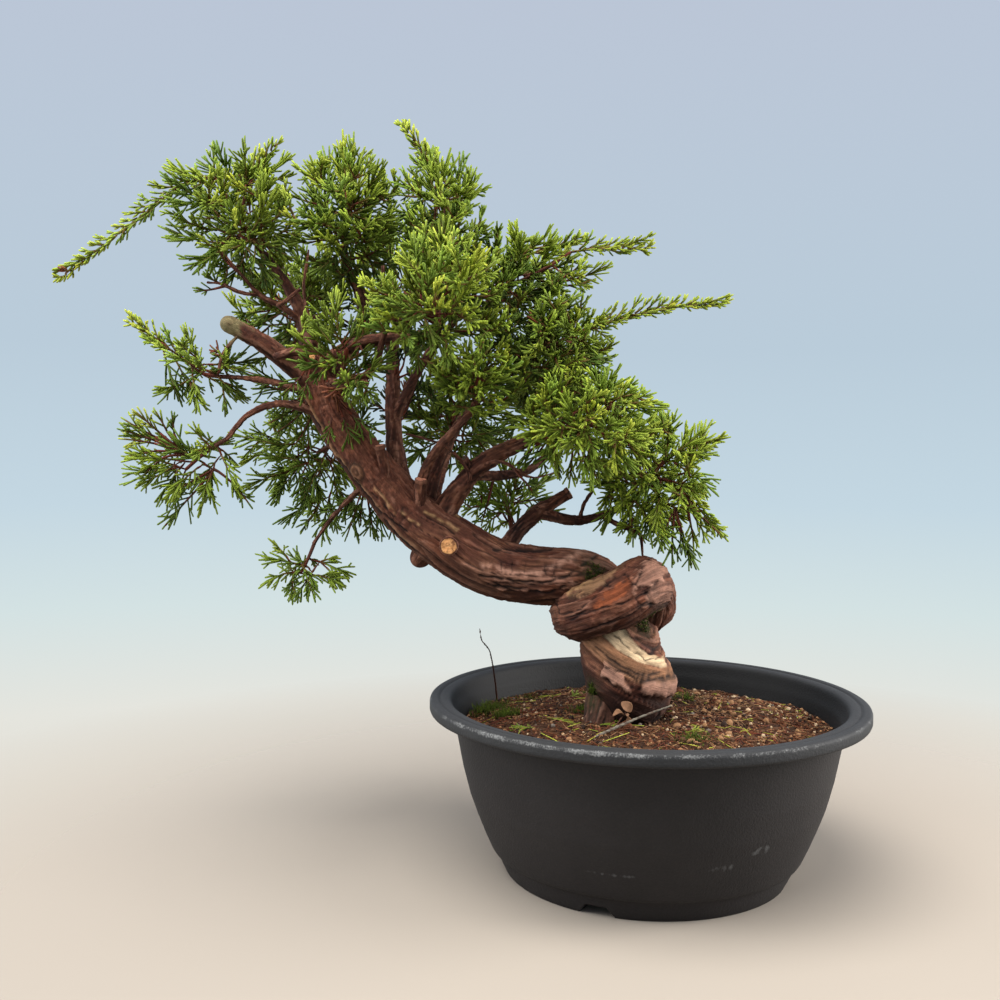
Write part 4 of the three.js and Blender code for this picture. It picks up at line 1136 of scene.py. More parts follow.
def barkFinish():
    # Streaks and fibres follow the grain; flakes lie across it
    finish = Finish("juniperBark", 0.8, 0.22)
    flow = finish.flow()
    fibre = finish.grain(0.6, 4, place=flow)
    streak = finish.grain(2.6, 4, place=flow)
    flake = finish.grain(1.5, 4)
    colour = finish.shaded(finish.tint(), streak, 0.55, 1.45)
    colour = finish.shaded(colour, fibre, 0.5, 1.5)
    colour = finish.shaded(colour, flake, 0.75, 1.25)
    normal = finish.lifted(flake, 0.6, 0.6)
    return finish.finished(colour, finish.lifted(fibre, 0.5, 0.9, normal))


bark = barkFinish()
trunkPlaces = []


def makeTrunk():
    # The three runs of the trunk, each a piece, then its roots and sawn stubs as one
    for name, run in trunk.items():
        grid = limbGrid(run["points"], run["radii"], barkLook["step"], run["around"])
        places, faces, colour, flow = barkSurface(name, grid, run.get("calm"), 1.0, run["pink"])
        trunkPlaces.append((places, faces))
        makePiece("trunk" + name.capitalize(), places, faces, bark, "trunk_bark", ["trunk"], colour,
                  flow=flow)
    makeLimbs("rootsAndStubs", trunkStubs + smallCuts, "trunk_bark", ["trunk"])


# A limb's first radius decides how many points go round it and how large its bark's forms are
limbLook = {"step": 0.7, "big": 8, "middling": 5, "around": (70, 40, 24), "size": (0.22, 0.045),
            "bigSize": 0.8, "flat": 0.94}


def makeLimbs(name, limbs, slot, nodes):
    # Limbs joined into one piece, each a line through its points with a cut or a rounded end
    look, parts, colours, flows = limbLook, [], [], []
    many, some, few = look["around"]
    for *points, radii, cut in limbs:
        big = radii[0] > look["big"]
        around = many if big else some if radii[0] > look["middling"] or cut else few
        grid = limbGrid(points, radii, look["step"], around)
        if cut:
            flatten(grid)
        size = look["bigSize"] if big else look["size"][0] + look["size"][1] * radii[0]
        places, faces, colour, flow = barkSurface("limb", grid, barkLook["limbCalm"], size, cut=cut)
        parts.append((places, faces))
        colours.append(colour)
        flows.append(flow)
    makePiece(name, *joined(parts), bark, slot, nodes, np.concatenate(colours), flow=np.concatenate(flows))


def flatten(grid):
    # A sawn end: the rounded cap's rings drawn back on to one plane
    centre = grid["line"][-capRings - 1]
    ahead = unit(centre - grid["line"][-capRings - 2])
    away = ((grid["rings"][-capRings:] - centre) @ ahead)[..., None]
    grid["rings"][-capRings:] -= away * ahead * limbLook["flat"]
    grid["last"] = centre + ahead * 0.05


makeTrunk()

boughs = {
    "bough_top_left": ((5, 3.6, 2.6), [(-184, 0, 272), (-189.5, 1, 300), (-202, 4, 322), (-214, 7, 338)]),
    "bough_top": ((5.5, 4, 2.8), [(-182, 4, 268), (-163, 13, 293), (-160, 15, 313), (-170, 16, 334)]),
    "bough_spike": ((3, 2.4, 2), [(-162, 14, 301), (-144, 4, 310), (-128, 0, 317), (-119, 0, 330)]),
    "bough_cross": ((4.5, 3.4, 2.5), [(-182, -3, 276), (-160, -12, 287), (-136, -17, 290),
        (-114, -26, 292)]),
    "bough_back_up": ((6, 5, 3.4), [(-134, 2, 202), (-142, 20, 230), (-145, 27, 262), (-146, 36, 294)]),
    "bough_rear_right": ((3.2, 2.6, 2), [(-144, 23, 247), (-128, 22, 278), (-112, 16, 298),
        (-100, 10, 312)]),
    "bough_middle_right": ((3.6, 2.8, 2.2), [(-123, 2, 193), (-115, 6, 226), (-94, 6, 260), (-72, 0, 276)]),
    "bough_centre": ((3.4, 2.6, 1.8), [(-128, -8, 202), (-119, -17, 225), (-103, -25, 243),
        (-93, -30, 254)]),
    "bough_right": ((8, 5.4, 4.4, 3.3), [(-117, -3, 187), (-108, -6, 203), (-92, -11, 222),
        (-66, -16, 235.5), (-43, -19, 240.5)]),
    "bough_back_right": ((3, 2.6, 2.2), [(-97, -10, 217), (-82, 8, 216), (-66, 24, 219), (-50, 38, 232)]),
    "bough_low_right": ((6, 4.6, 4), [(-82, 3, 170), (-72, 5, 185), (-58, 8, 198)]),
    "branch_low_right": ((3.6, 2.6, 2), [(-61, 7.5, 196), (-40, 10, 191), (-24, 12, 194), (-9, 13, 201)]),
    "bough_cut_left": ((6, 5, 4.6), [(-184, -3, 266), (-208, -13, 286), (-227, -20, 297)]),
    "bough_left": ((2.4, 1.8, 1.4), [(-180, -2, 258), (-203, -12, 266), (-226, -16, 269)]),
    "bough_left_low": ((2.8, 2, 1.4), [(-174, -2, 248), (-200, -9, 255), (-218, -13, 249),
        (-229, -16, 236)]),
    "bough_under": ((4, 3, 2.2), [(-158, 0, 226), (-170, 22, 236), (-180, 38, 234)]),
    "bough_hanging": ((2, 1.4, 1.2), [(-150, 0, 216), (-166, 7, 203), (-178, 9, 190), (-187, 9, 177)]),
    "bough_back_low": ((3.6, 2.8, 2.2), [(-120, 4, 190), (-118, 26, 210), (-112, 42, 234)]),
    "bough_back_left": ((4.2, 3.2, 2.4), [(-182, 3, 264), (-194, 22, 286), (-200, 36, 302)])}

# Thin limbs, bare twigs and dead ones that the front shows: their radii and points
thinLimbs = [
    ((3.4, 3, 2.4, 2.1, 1.9, 1.6, 1.3, 1), [(-176, -6, 266), (-163, -18, 265.5), (-155, -22, 267.5),
        (-146.8, -23, 278), (-142.6, -22, 294), (-138.8, -22, 306), (-143, -22, 316), (-144, -22, 327)]),
    ((2.0, 1.6, 1.3, 1.0, 0.7), [(-193, 1, 302), (-203, -4, 309), (-213, -8, 314), (-222, -12, 324),
        (-232, -14, 336)]),
    ((1.1, 0.9, 0.6), [(-213, -8, 314), (-223, -12, 315), (-232, -14, 319), (-240, -14, 320)]),
    ((1.3, 1.1, 0.9, 0.6), [(-183, -4, 284), (-185, -14, 300), (-187, -18, 316), (-184, -20, 336)]),
    ((1.0, 0.8, 0.5), [(-92, -13, 222), (-80, -23, 224), (-65, -24, 216), (-50, -24, 219)]),
    ((1.1, 0.9, 0.6), [(-104, -8, 207), (-98, -14, 217), (-111, -14, 232), (-132, -14, 239)]),
    ((1.2, 0.9, 0.5), [(-220, -19, 292), (-225, -20, 288), (-231, -19, 280), (-233, -19, 271)]),
    ((1.3, 1.1, 0.9), [(-204, -5, 309), (-199, -11, 310), (-190, -15, 316)]),
    ((3.0, 2.6, 2.0), [(-184, -6, 283), (-192, -15, 283), (-202, -17, 280)]),
    ((1.6, 1.2, 0.7), [(-24.5, 11.5, 193.5), (-14, 9, 188), (-4, 8, 184), (-2, 8, 172)]),
    ((1.3, 1.0, 0.7), [(-37, 10, 192), (-35, 9, 200), (-30, 8, 208)])]


makeLimbs("boughBark", [(*points, radii, cutTones.get(name)) for name, (radii, points) in boughs.items()],
          "bough_bark", list(boughs))
makeLimbs("thinLimbs", [(*points, radii, None) for radii, points in thinLimbs], "bough_bark", [])


# Foliage: masses of sprays, each grown by a rule from one stem

massKeys = ("name", "bough", "seed", "sprays", "length", "centre", "half", "finer", "reach")
masses = [dict(zip(massKeys, row)) for row in [
    ("foliage_upper_left", "bough_top_left", 11, 24, 30, (-226, -2, 356), (44, 46, 48), 140, 0.86),
    ("foliage_top", "bough_top", 12, 25, 30, (-168, 2, 358), (40, 48, 47), 170, 0.92),
    ("foliage_spike", "bough_spike", 13, 13, 28, (-114, 0, 358), (32, 42, 40), 100, 0.94),
    ("foliage_upper_right", "bough_rear_right", 14, 23, 30, (-78, 0, 320), (48, 48, 34), 160, 1),
    ("foliage_right", "bough_middle_right", 15, 25, 30, (-58, -6, 285), (40, 48, 38), 180, 1),
    ("foliage_low_right", "branch_low_right", 16, 24, 30, (2, 2, 216), (40, 46, 48), 165, 0.82),
    ("foliage_front", "bough_right", 17, 15, 28, (-34, -42, 244), (42, 36, 32), 145, 0.92),
    ("foliage_left", "bough_left", 48, 11, 24, (-243, -18, 271), (32, 28, 27), 26, 0.9),
    ("foliage_left_low", "bough_left_low", 19, 12, 24, (-252, -16, 219), (36, 30, 29), 15, 0.9),
    ("foliage_under", "bough_under", 20, 24, 30, (-194, 56, 228), (56, 40, 57), 78, 0.86),
    ("foliage_hanging", "bough_hanging", 21, 8, 19, (-194, 8, 161), (36, 22, 22), 14, 1),
    ("foliage_inner", "trunk", 22, 9, 22, (-160, -42, 282), (30, 26, 34), 40, 1),
    ("foliage_back", "bough_back_low", 23, 15, 30, (-112, 66, 252), (44, 38, 42), 140, 1),
    ("foliage_low_back", "trunk", 24, 9, 24, (-80, 44, 204), (36, 30, 26), 36, 1),
    ("foliage_back_top", "bough_back_up", 25, 20, 31, (-142, 66, 326), (48, 42, 46), 130, 1),
    ("foliage_back_right", "bough_back_right", 26, 18, 31, (-50, 66, 266), (50, 42, 50), 125, 0.9),
    ("foliage_front_top", "bough_cross", 27, 19, 29, (-112, -54, 305), (42, 38, 40), 150, 1),
    ("foliage_centre", "bough_centre", 28, 8, 20, (-92, -42, 268), (28, 26, 24), 74, 1),
    ("foliage_back_left", "bough_back_left", 29, 17, 31, (-208, 58, 316), (42, 40, 44), 110, 1)]]
rootsOnTrunk = {"foliage_inner": (-172, -2, 252), "foliage_low_back": (-74, 2, 164)}

# Long young shoots that stand out of their masses
shoots = {
    "foliage_upper_left": [[(-238, -6, 378), (-259, -9, 371), (-290, -10, 347), (-326, -10, 320)],
        [(-222, 0, 376), (-204, 0, 400)]],
    "foliage_spike": [[(-111, 0, 374), (-139, 0, 411)]],
    "foliage_upper_right": [[(-44, -4, 338), (-32, -6, 340), (2, -8, 339)], [(-66, 0, 338), (-34, 0, 346)]],
    "foliage_right": [[(-36, -8, 296), (2, -9, 307), (43, -10, 310)]],
    "foliage_low_right": [[(10, 0, 228), (42, 0, 238)], [(12, -4, 214), (42, -8, 184)]],
    "foliage_left": [[(-254, -18, 280), (-284, -18, 301)]],
    "foliage_left_low": [[(-263, -16, 191)]]}
for mass in masses:
    mass["shoots"] = shoots.get(mass["name"], [])

growth = {
    "stepLength": 7, "pathWeight": 0.35, "lowestShare": 0.35, "shareBetween": 0.06, "shootRadius": 17,
    "limbClearance": 1.4, "stemRadius": 1.9, "stemShare": 0.9, "hubShare": 0.75, "rootShare": 0.42,
    "shootShare": 0.8, "tipRadius": 0.7, "rootLength": 4, "sampleStep": 3, "twigsApart": 2.6,
    "spraysApart": 3.8, "turns": 5, "shortestTwig": 2.5, "mostChildren": 1, "tries": 80, "sideTilt": 0.9,
    "thickness": 0.085, "middle": 0.42, "samples": (0.35, 0.7, 1),
    "edge": np.array([(0, 0), (0.64, 0.44), (0.58, 0.16), (1, 0), (0.58, -0.16), (0.64, -0.44)])}
finerGrowth = {"lengths": (12, 24), "lengthShare": 0.74, "apart": 4.8, "nearest": 7, "mostChildren": 4,
               "tries": 12, "lowestShare": 0.1, "outward": 0.5, "width": 0.3, "between": -0.2,
               "limbApart": 0.8, "stemShare": 0.7, "thickest": 0.8, "tipRadius": 0.5, "nodeAt": 0.35}
runnerLook = {"every": 2.9, "lengths": (13, 19), "tilts": (0.34, 0.58), "width": 0.66, "tipWidth": 0.4,
              "shortest": 0.22, "from": 2.0, "upTo": 4, "toFront": 0.7}
front = np.array((0, 1.0, 0))  # the way in which the front is looked at
reachBox = np.array([np.array(cadBox[0]) / mm + 0.2, np.array(cadBox[1]) / mm - 0.2])


def seeded(seed):
    # Even numbers from 0 to 1, the same as those that the solids are grown by
    state = seed

    def draw():
        nonlocal state
        state = (state + 0x6D2B79F5) & 0xFFFFFFFF
        t = state
        t = ((t ^ (t >> 15)) * (1 | t)) & 0xFFFFFFFF
        t = ((t + ((t ^ (t >> 7)) * (61 | t) & 0xFFFFFFFF)) & 0xFFFFFFFF) ^ t
        return (t ^ (t >> 14)) / 4294967296
    return draw


def directionFrom(draw):
    # A direction spread evenly over a ball: its height is even from -1 to 1
    up = 2 * draw() - 1
    turn = 2 * math.pi * draw()
    flat = math.sqrt(1 - up * up)
    return np.array((flat * math.cos(turn), flat * math.sin(turn), up))


def limbBalls():
    # Every limb as rows of balls, against which twigs and sprays keep clear
    limbs = [(run["points"], run["radii"]) for run in trunk.values()]
    limbs += [(points, radii) for *points, radii, cut in trunkStubs]
    limbs += [(points, radii) for radii, points in boughs.values()]
    places, sizes = [], []
    for points, radii in limbs:
        count = math.ceil(alongLine(points, [0])[1] / growth["sampleStep"])
        shares = np.linspace(0, 1, count + 1)
        places.append(alongLine(points, shares)[0])
        sizes.append(radiiAlong(radii, shares))
    return np.concatenate(places), np.concatenate(sizes)


ballPlaces, ballSizes = limbBalls()
centres = np.array([mass["centre"] for mass in masses], float)
halves = np.array([mass["half"] for mass in masses], float)
runs = [(own, a, b) for own, mass in enumerate(masses) for shoot in mass["shoots"]
        for a, b in zip(shoot[:-1], shoot[1:])]
runOwners = np.array([own for own, a, b in runs])
runStarts = np.array([a for own, a, b in runs], float)
runSteps = np.array([b for own, a, b in runs], float) - runStarts


def sharesOut(places):
    # For each mass, 0 in the middle of its ellipsoid or on a shoot's line and 1 at its edge
    shares = np.linalg.norm((places[None] - centres[:, None]) / halves[:, None], axis=2)
    past = places[None] - runStarts[:, None]
    way = np.clip((past * runSteps[:, None]).sum(2) / (runSteps**2).sum(1)[:, None], 0, 1)
    away = np.linalg.norm(past - way[..., None] * runSteps[:, None], axis=2) / growth["shootRadius"]
    np.minimum.at(shares, runOwners, away)
    return shares


def ownPlaces(own, places, between):
    # Which places lie in a mass's own space
    shares = sharesOut(places)
    return (shares[own] <= 1) & (shares[own] + between < np.delete(shares, own, 0).min(0))


def inOwnSpace(own, places, between=growth["shareBetween"]):
    # Whether all places lie in a mass's own space
    return bool(ownPlaces(own, places, between).all())


def apartFrom(places, others, sizes):
    # Whether all distances are over the sizes: |p - o|² = |p|² + |o|² - 2 p·o
    gaps = (places**2).sum(1)[:, None] + (others**2).sum(1) - 2 * places @ others.T
    return bool((gaps > np.square(sizes)).all())


def twigPoints(start, end):
    # Points at even steps along a twig, from a little way out
    length = np.linalg.norm(end - start)
    ways = np.arange(growth["rootLength"], length, growth["sampleStep"])
    return start + (end - start) * (ways / length)[:, None]


def sprayPoints(foot, ahead, side, length):
    # Points all over a spray's blade, from its middle to its edge and halfway to the next corner
    middle = foot + ahead * growth["middle"] * length
    corners = foot + (growth["edge"][:, :1] * ahead + growth["edge"][:, 1:] * side) * length
    halfway = (corners + np.roll(corners, -1, 0)) / 2
    rim = np.stack([corners, halfway], 1).reshape(-1, 3)
    return (middle + (rim[:, None] - middle) * np.array(growth["samples"])[None, :, None]).reshape(-1, 3)


class Plant:
    # The nodes, twigs and sprays of one mass while it grows

    def __init__(self, own):
        self.own = own
        self.mass = masses[own]
        self.draw = seeded(self.mass["seed"])
        bough = self.mass["bough"]
        start = rootsOnTrunk[self.mass["name"]] if bough == "trunk" else boughs[bough][1][-1]
        tip = growth["stemRadius"] if bough == "trunk" else boughs[bough][0][-1]
        self.stem = min(growth["stemRadius"], tip * growth["stemShare"])
        self.at = [np.array(start, float)]
        self.path, self.radius, self.children = [0.0], [self.stem], [0]
        self.taken = np.zeros((0, 3))
        self.twigs, self.sprays = [], []

    def isFree(self, places, clearance, apart):
        # In the mass's own space, clear of every limb and apart from what has grown
        return (len(places) == 0 or (inOwnSpace(self.own, places)
                and apartFrom(places, ballPlaces, ballSizes + clearance)
                and apartFrom(places, self.taken, apart)))

    def addNodes(self, start, to, startRadius, endRadius):
        # Nodes about a step apart, their radius even between both ends; gives the last one
        begin = self.at[start]
        length = np.linalg.norm(to - begin)
        count = max(1, math.floor(length / growth["stepLength"] + 0.5))
        for i in range(1, count + 1):
            self.at.append(begin + (to - begin) * i / count)
            self.path.append(self.path[start] + length * i / count)
            self.radius.append(startRadius + (endRadius - startRadius) * i / count)
            self.children.append(0)
        return len(self.at) - 1

    def addTwig(self, start, to, startRadius, endRadius):
        # A twig that grows whatever lies in its way
        self.twigs.append((self.at[start], to, startRadius, endRadius))
        self.taken = np.concatenate([self.taken, twigPoints(self.at[start], to)])
        return self.addNodes(start, to, startRadius, endRadius)

    def addSprig(self, start, to, across=None):
        # A twig with a spray that points to a place, where there is room for it
        across = directionFrom(self.draw) if across is None else across
        length = self.mass["length"]
        begin = self.at[start]
        ahead = unit(to - begin)
        foot = to - ahead * length
        if (foot - begin) @ ahead < growth["shortestTwig"]:
            return False
        way = twigPoints(begin, foot)
        if not self.isFree(way, growth["limbClearance"], growth["twigsApart"]):
            return False
        for turn in range(growth["turns"]):
            side = unit(np.cross(ahead, across if turn == 0 else directionFrom(self.draw)))
            places = sprayPoints(foot, ahead, side, length)
            extra = growth["limbClearance"] + growth["thickness"] * length / 2
            if self.isFree(places, extra, growth["spraysApart"]):
                startRadius = self.radius[start] * growth["rootShare"]
                self.twigs.append((begin, foot, startRadius, growth["tipRadius"]))
                self.sprays.append((foot, ahead, side, length, 1.0))
                self.addNodes(start, foot, startRadius, growth["tipRadius"])
                self.children[start] += 1
                self.taken = np.concatenate([self.taken, way, places])
                return True
        return False

    def growShoots(self, hub):
        # Twigs from joint to joint, a narrow spray at the tip and a side spray at each joint
        for shoot in self.mass["shoots"]:
            joints = [hub]
            for place in shoot[:-1]:
                startRadius = self.radius[joints[-1]] * growth["shootShare"]
                joints.append(self.addTwig(joints[-1], np.array(place, float), startRadius,
                                           growth["tipRadius"]))
            if self.addSprig(joints[-1], np.array(shoot[-1], float), front):
                self.sprays[-1] = (*self.sprays[-1][:4], runnerLook["tipWidth"])
            for i, joint in enumerate(joints[1:]):
                ahead = unit(np.array(shoot[i + 1], float) - self.at[joint])
                aside = unit(np.cross(ahead, directionFrom(self.draw)))
                way = unit(ahead + aside * growth["sideTilt"])
                reach = self.mass["length"] + 2 * growth["shortestTwig"]
                self.addSprig(joint, self.at[joint] + way * reach)

    def nearest(self, to, mostChildren, leastReach):
        # The node that costs least: its distance plus a share of its own way from the stem
        at = np.array(self.at)
        reach = np.linalg.norm(at - to, axis=1)
        cost = reach + growth["pathWeight"] * np.array(self.path)
        cost[(np.array(self.children) >= mostChildren) | (reach <= leastReach)] = np.inf
        cost[0] = np.inf
        return int(np.argmin(cost)) if np.isfinite(cost).any() else 1

    def grow(self):
        # The stem to the middle, then twigs to random places that have room, as the solids grow them
        mass, centre, half = self.mass, centres[self.own], halves[self.own]
        hub = self.addTwig(0, centre.copy(), self.stem, self.stem * growth["hubShare"])
        self.growShoots(hub)
        made = tried = 0
        while made < mass["sprays"] and tried < growth["tries"] * mass["sprays"]:
            tried += 1
            way = directionFrom(self.draw)
            share = growth["lowestShare"] + (1 - growth["lowestShare"]) * math.sqrt(self.draw())
            to = centre + way * half * share
            clear = ballSizes + growth["limbClearance"]
            if inOwnSpace(self.own, to[None]) and apartFrom(to[None], ballPlaces, clear):
                best = self.nearest(to, growth["mostChildren"], mass["length"] + growth["shortestTwig"])
                made += self.addSprig(best, to)

    def growFiner(self):
        # The same rule with shorter, closer sprays that may lean a little into the next mass's space
        rule, dice = finerGrowth, np.random.default_rng(self.mass["seed"])
        count = rule["tries"] * self.mass["finer"]
        ways = unit(dice.normal(size=(count, 3)))
        shares = rule["lowestShare"] + (1 - rule["lowestShare"]) * dice.random((count, 1)) ** rule["outward"]
        goals = centres[self.own] + ways * halves[self.own] * shares * self.mass["reach"]
        goals = goals[ownPlaces(self.own, goals, rule["between"])]
        middles = np.array([foot + ahead * length / 2 for foot, ahead, side, length, wide in self.sprays])
        made = 0
        for to, over in zip(goals, dice.normal(size=goals.shape)):
            best = self.nearest(to, rule["mostChildren"], rule["nearest"])
            reach = np.linalg.norm(to - self.at[best])
            length = min(np.clip(reach * rule["lengthShare"], *rule["lengths"]), reach - 1)
            ahead = unit(to - self.at[best])
            side = unit(np.cross(ahead, over))
            foot = to - ahead * length
            middle = foot + ahead * length / 2
            wide = side * length * rule["width"]
            places = np.array([to, foot, middle + wide, middle - wide])
            if (np.linalg.norm(middles - middle, axis=1).min() > rule["apart"]
                    and inOwnSpace(self.own, places, rule["between"])
                    and apartFrom(places, ballPlaces, ballSizes + rule["limbApart"])):
                middles = np.vstack([middles, middle])
                startRadius = min(self.radius[best] * rule["stemShare"], rule["thickest"])
                self.twigs.append((self.at[best], foot, startRadius, rule["tipRadius"]))
                self.sprays.append((foot, ahead, side, length, 1.0))
                self.addNodes(best, foot + ahead * length * rule["nodeAt"], startRadius, rule["tipRadius"])
                self.children[best] += 1
                made += 1
                if made == self.mass["finer"]:
                    break

    def growRunners(self):
        # Small side sprays along each shoot, alternately to its two sides, shorter towards its tip
        look, dice = runnerLook, np.random.default_rng(self.mass["seed"] + 100)
        for shoot in self.mass["shoots"]:
            if len(shoot) < 2:
                continue
            line = np.array(shoot, float)
            whole = alongLine(line, [0])[1]
            ways = np.arange(look["from"], whole - look["upTo"], look["every"])
            places, ahead = (alongLine(line, (ways + more) / whole)[0] for more in (0, 1))
            ahead = unit(ahead - places)
            for i, (place, onward) in enumerate(zip(places, ahead)):
                aside = unit(np.cross(onward, front)) * (1 if i % 2 else -1)
                aside = aside + front * dice.normal() * look["toFront"]
                way = unit(onward + unit(aside) * dice.uniform(*look["tilts"]))
                side = unit(np.cross(way, dice.normal(size=3)))
                size = dice.uniform(*look["lengths"]) * (1 - (1 - look["shortest"]) * ways[i] / whole)
                self.sprays.append((place, way, side, size, look["width"]))


sprayLook = {
    "every": 2.0, "fewest": 5, "spread": (46, 22), "wobble": 9, "roll": 0.9, "reach": 0.68,
    "reachLimits": (7, 15), "reachAlong": (0.72, 0.42), "reachVaries": (0.65, 1.15), "reachEnd": 0.4,
    "lifts": ((180, 250, 330), (-0.16, 0.06, 0.24)), "liftVaries": 0.06, "up": np.array((0, 0, 1.0)),
    "radii": ((0.5, 0.66, 0.56), (0.54, 0.54)), "radiiVary": 0.15, "axisRadii": (0.6, 0.48, 0.36),
    "axisLength": 0.96, "forkAt": (0.2, 0.7), "forkShare": 0.9, "forkLength": (0.32, 0.55), "forkTilt": 0.62,
    "forkFrom": 5}


def sprayTubes(sprays, dice):
    # Fingers leave the axis foot + ahead·L·t + lift·L·t² to alternate sides at an angle that narrows
    # towards the tip, and bend back along it; most of the long ones fork
    foot, ahead, side, length, wide = (np.array([s[i] for s in sprays]) for i in range(5))
    look = sprayLook
    across = np.cross(ahead, side)
    lift = look["up"] - ahead * ahead[:, 2:]
    rise = np.interp(foot[:, 2], *look["lifts"])[:, None]
    lift = lift * rise + dice.normal(0, look["liftVaries"], (len(foot), 3))
    counts = np.maximum(look["fewest"], (length / look["every"]).astype(int))
    which = np.repeat(np.arange(len(foot)), counts)
    order = np.concatenate([np.arange(count) for count in counts])
    share = (order + 0.8) / counts[which]
    near, more = look["reachAlong"]
    reach = np.clip(length[which] * look["reach"], *look["reachLimits"]) * (near + more * share)
    reach = reach * dice.uniform(*look["reachVaries"], len(which)) * (1 - look["reachEnd"] * share**3)
    reach = reach * wide[which]
    size = length[which, None]
    along = (share * (1 - 0.75 * np.clip(reach / length[which], 0, 0.5) * share))[:, None]
    base = foot[which] + ahead[which] * size * along + lift[which] * size * along**2
    tangent = unit(ahead[which] + 2 * lift[which] * along)
    roll = dice.normal(0, look["roll"], len(which))[:, None]
    aside = (side[which] * np.cos(roll) + across[which] * np.sin(roll)) * np.where(order % 2, 1, -1)[:, None]
    spread = look["spread"][0] + (look["spread"][1] - look["spread"][0]) * share
    angle = np.radians(spread + dice.normal(0, look["wobble"], len(which)))
    last = order == counts[which] - 1
    angle[last] = 0.05
    way = unit(tangent * np.cos(angle)[:, None] + aside * np.sin(angle)[:, None])
    reach = reach[:, None]
    bend = base + way * reach * 0.55
    end = base + way * reach * 0.9 + tangent * reach * 0.14 + lift[which] * reach * 0.35
    at = dice.uniform(*look["forkAt"], reach.shape)
    origin = (1 - at) ** 2 * base + 2 * at * (1 - at) * bend + at**2 * end
    turned = unit(np.cross(way, dice.normal(size=way.shape)))
    forkWay = unit(way + turned * look["forkTilt"])
    forkEnd = origin + forkWay * reach * dice.uniform(*look["forkLength"], reach.shape)
    keep = (reach[:, 0] > look["forkFrom"]) & ~last & (dice.random(len(which)) < look["forkShare"])
    forks = tuple(v[keep] for v in (origin, (origin + forkEnd) / 2, forkEnd, which))
    return (base, bend, end, which), forks, lift


def sprayAxes(sprays, lift):
    # The foot of each spray's axis, its bend halfway, and its end
    foot, ahead, length = (np.array([s[i] for s in sprays]) for i in (0, 1, 3))
    size = length[:, None]
    return foot, foot + ahead * size * 0.5, foot + ahead * size * sprayLook["axisLength"] + lift * size


def spreadRadii(radii, count, dice):
    # The same radii for each, all a little thicker or thinner by its own share
    vary = sprayLook["radiiVary"]
    return np.array(radii)[None] * dice.uniform(1 - vary, 1 + vary, (count, 1))


def fingers(kinds, radii, base, tips, dice, rings=(2, 2), vary=0, power=1.5):
    # Fingers and forks as tubes, tinted from base to tip by the spray that they are on
    parts, colours = [], []
    for (start, bend, end, which), own, count in zip(kinds, radii, rings):
        rows = spreadRadii(own, len(start), dice)
        places, faces, shares = manyTubes(start, bend, end, rows, 3, count)
        parts.append((np.clip(places, *reachBox), faces))
        tint = dice.uniform(1 - vary, 1 + vary, (len(start), 1)) if vary else 1
        colours.append(tubeColours(base[which] * tint, tips[which] * tint, shares, power))
    return parts, colours


# Brightness sums what is outside the crown and the mass, points up, hangs low or faces the front: partly the
# young growth's own colour, partly painted light
leafLook = {
    "crown": (-128, 0, 270.0), "crownHalf": (170, 88, 120), "tip": 14, "outside": 0.42, "own": 0.34,
    "up": 0.16, "low": 0.14, "front": 0.16, "less": 0.14, "varies": 0.15, "hues": (0.07, 0.02, -0.08),
    "dead": 0.004, "deadInner": 0.1, "fingerVary": 0.15}


def leafColours(mass, sprays, dice):
    # Brighter and yellower towards the outside and top of the crown, partly young growth and partly painted
    # light, with painted shade in its middle
    look = leafLook
    foot, ahead = (np.array([s[i] for s in sprays]) for i in (0, 1))
    tip = foot + ahead * look["tip"]
    outside = np.linalg.norm((tip - look["crown"]) / look["crownHalf"], axis=1)
    own = np.linalg.norm((tip - mass["centre"]) / np.array(mass["half"]), axis=1)
    low = smooth(300, 180, tip[:, 2]) * smooth(-190, -120, tip[:, 0])
    near = smooth(20, -60, tip[:, 1])
    # Painted light: sprays that point up, hang low on the right or stand at the front are brighter
    bright = look["outside"] * outside + look["own"] * own + look["up"] * ahead[:, 2] + look["low"] * low
    bright = bright + look["front"] * near - look["less"] + dice.normal(0, look["varies"], len(foot))
    hue = 1 + dice.normal(0, 1, (len(foot), 1)) * look["hues"]
    # Painted shade: the middle of the crown is darkened to as little as half
    shade = (0.5 + 0.5 * smooth(0.3, 0.8, outside))[:, None]
    base = blend("leafDark", "leafMid", smooth(0.05, 0.8, bright))
    tips = blend(light("leafMid") * 0.9, "leafBright", smooth(0.2, 0.95, bright))
    yellow = smooth(0.7, 1.15, bright + dice.normal(0, look["varies"], len(foot)))
    tips = blend(tips, "leafYellow", 0.7 * yellow)
    often = look["deadInner"] if mass["name"] == "foliage_inner" else look["dead"]
    dead = dice.random(len(foot)) < often
    base = blend(base, tips, 0.3)
    base[dead], tips[dead] = light("twigRed"), light("leafDead")
    return base * shade * hue, tips * shade * hue


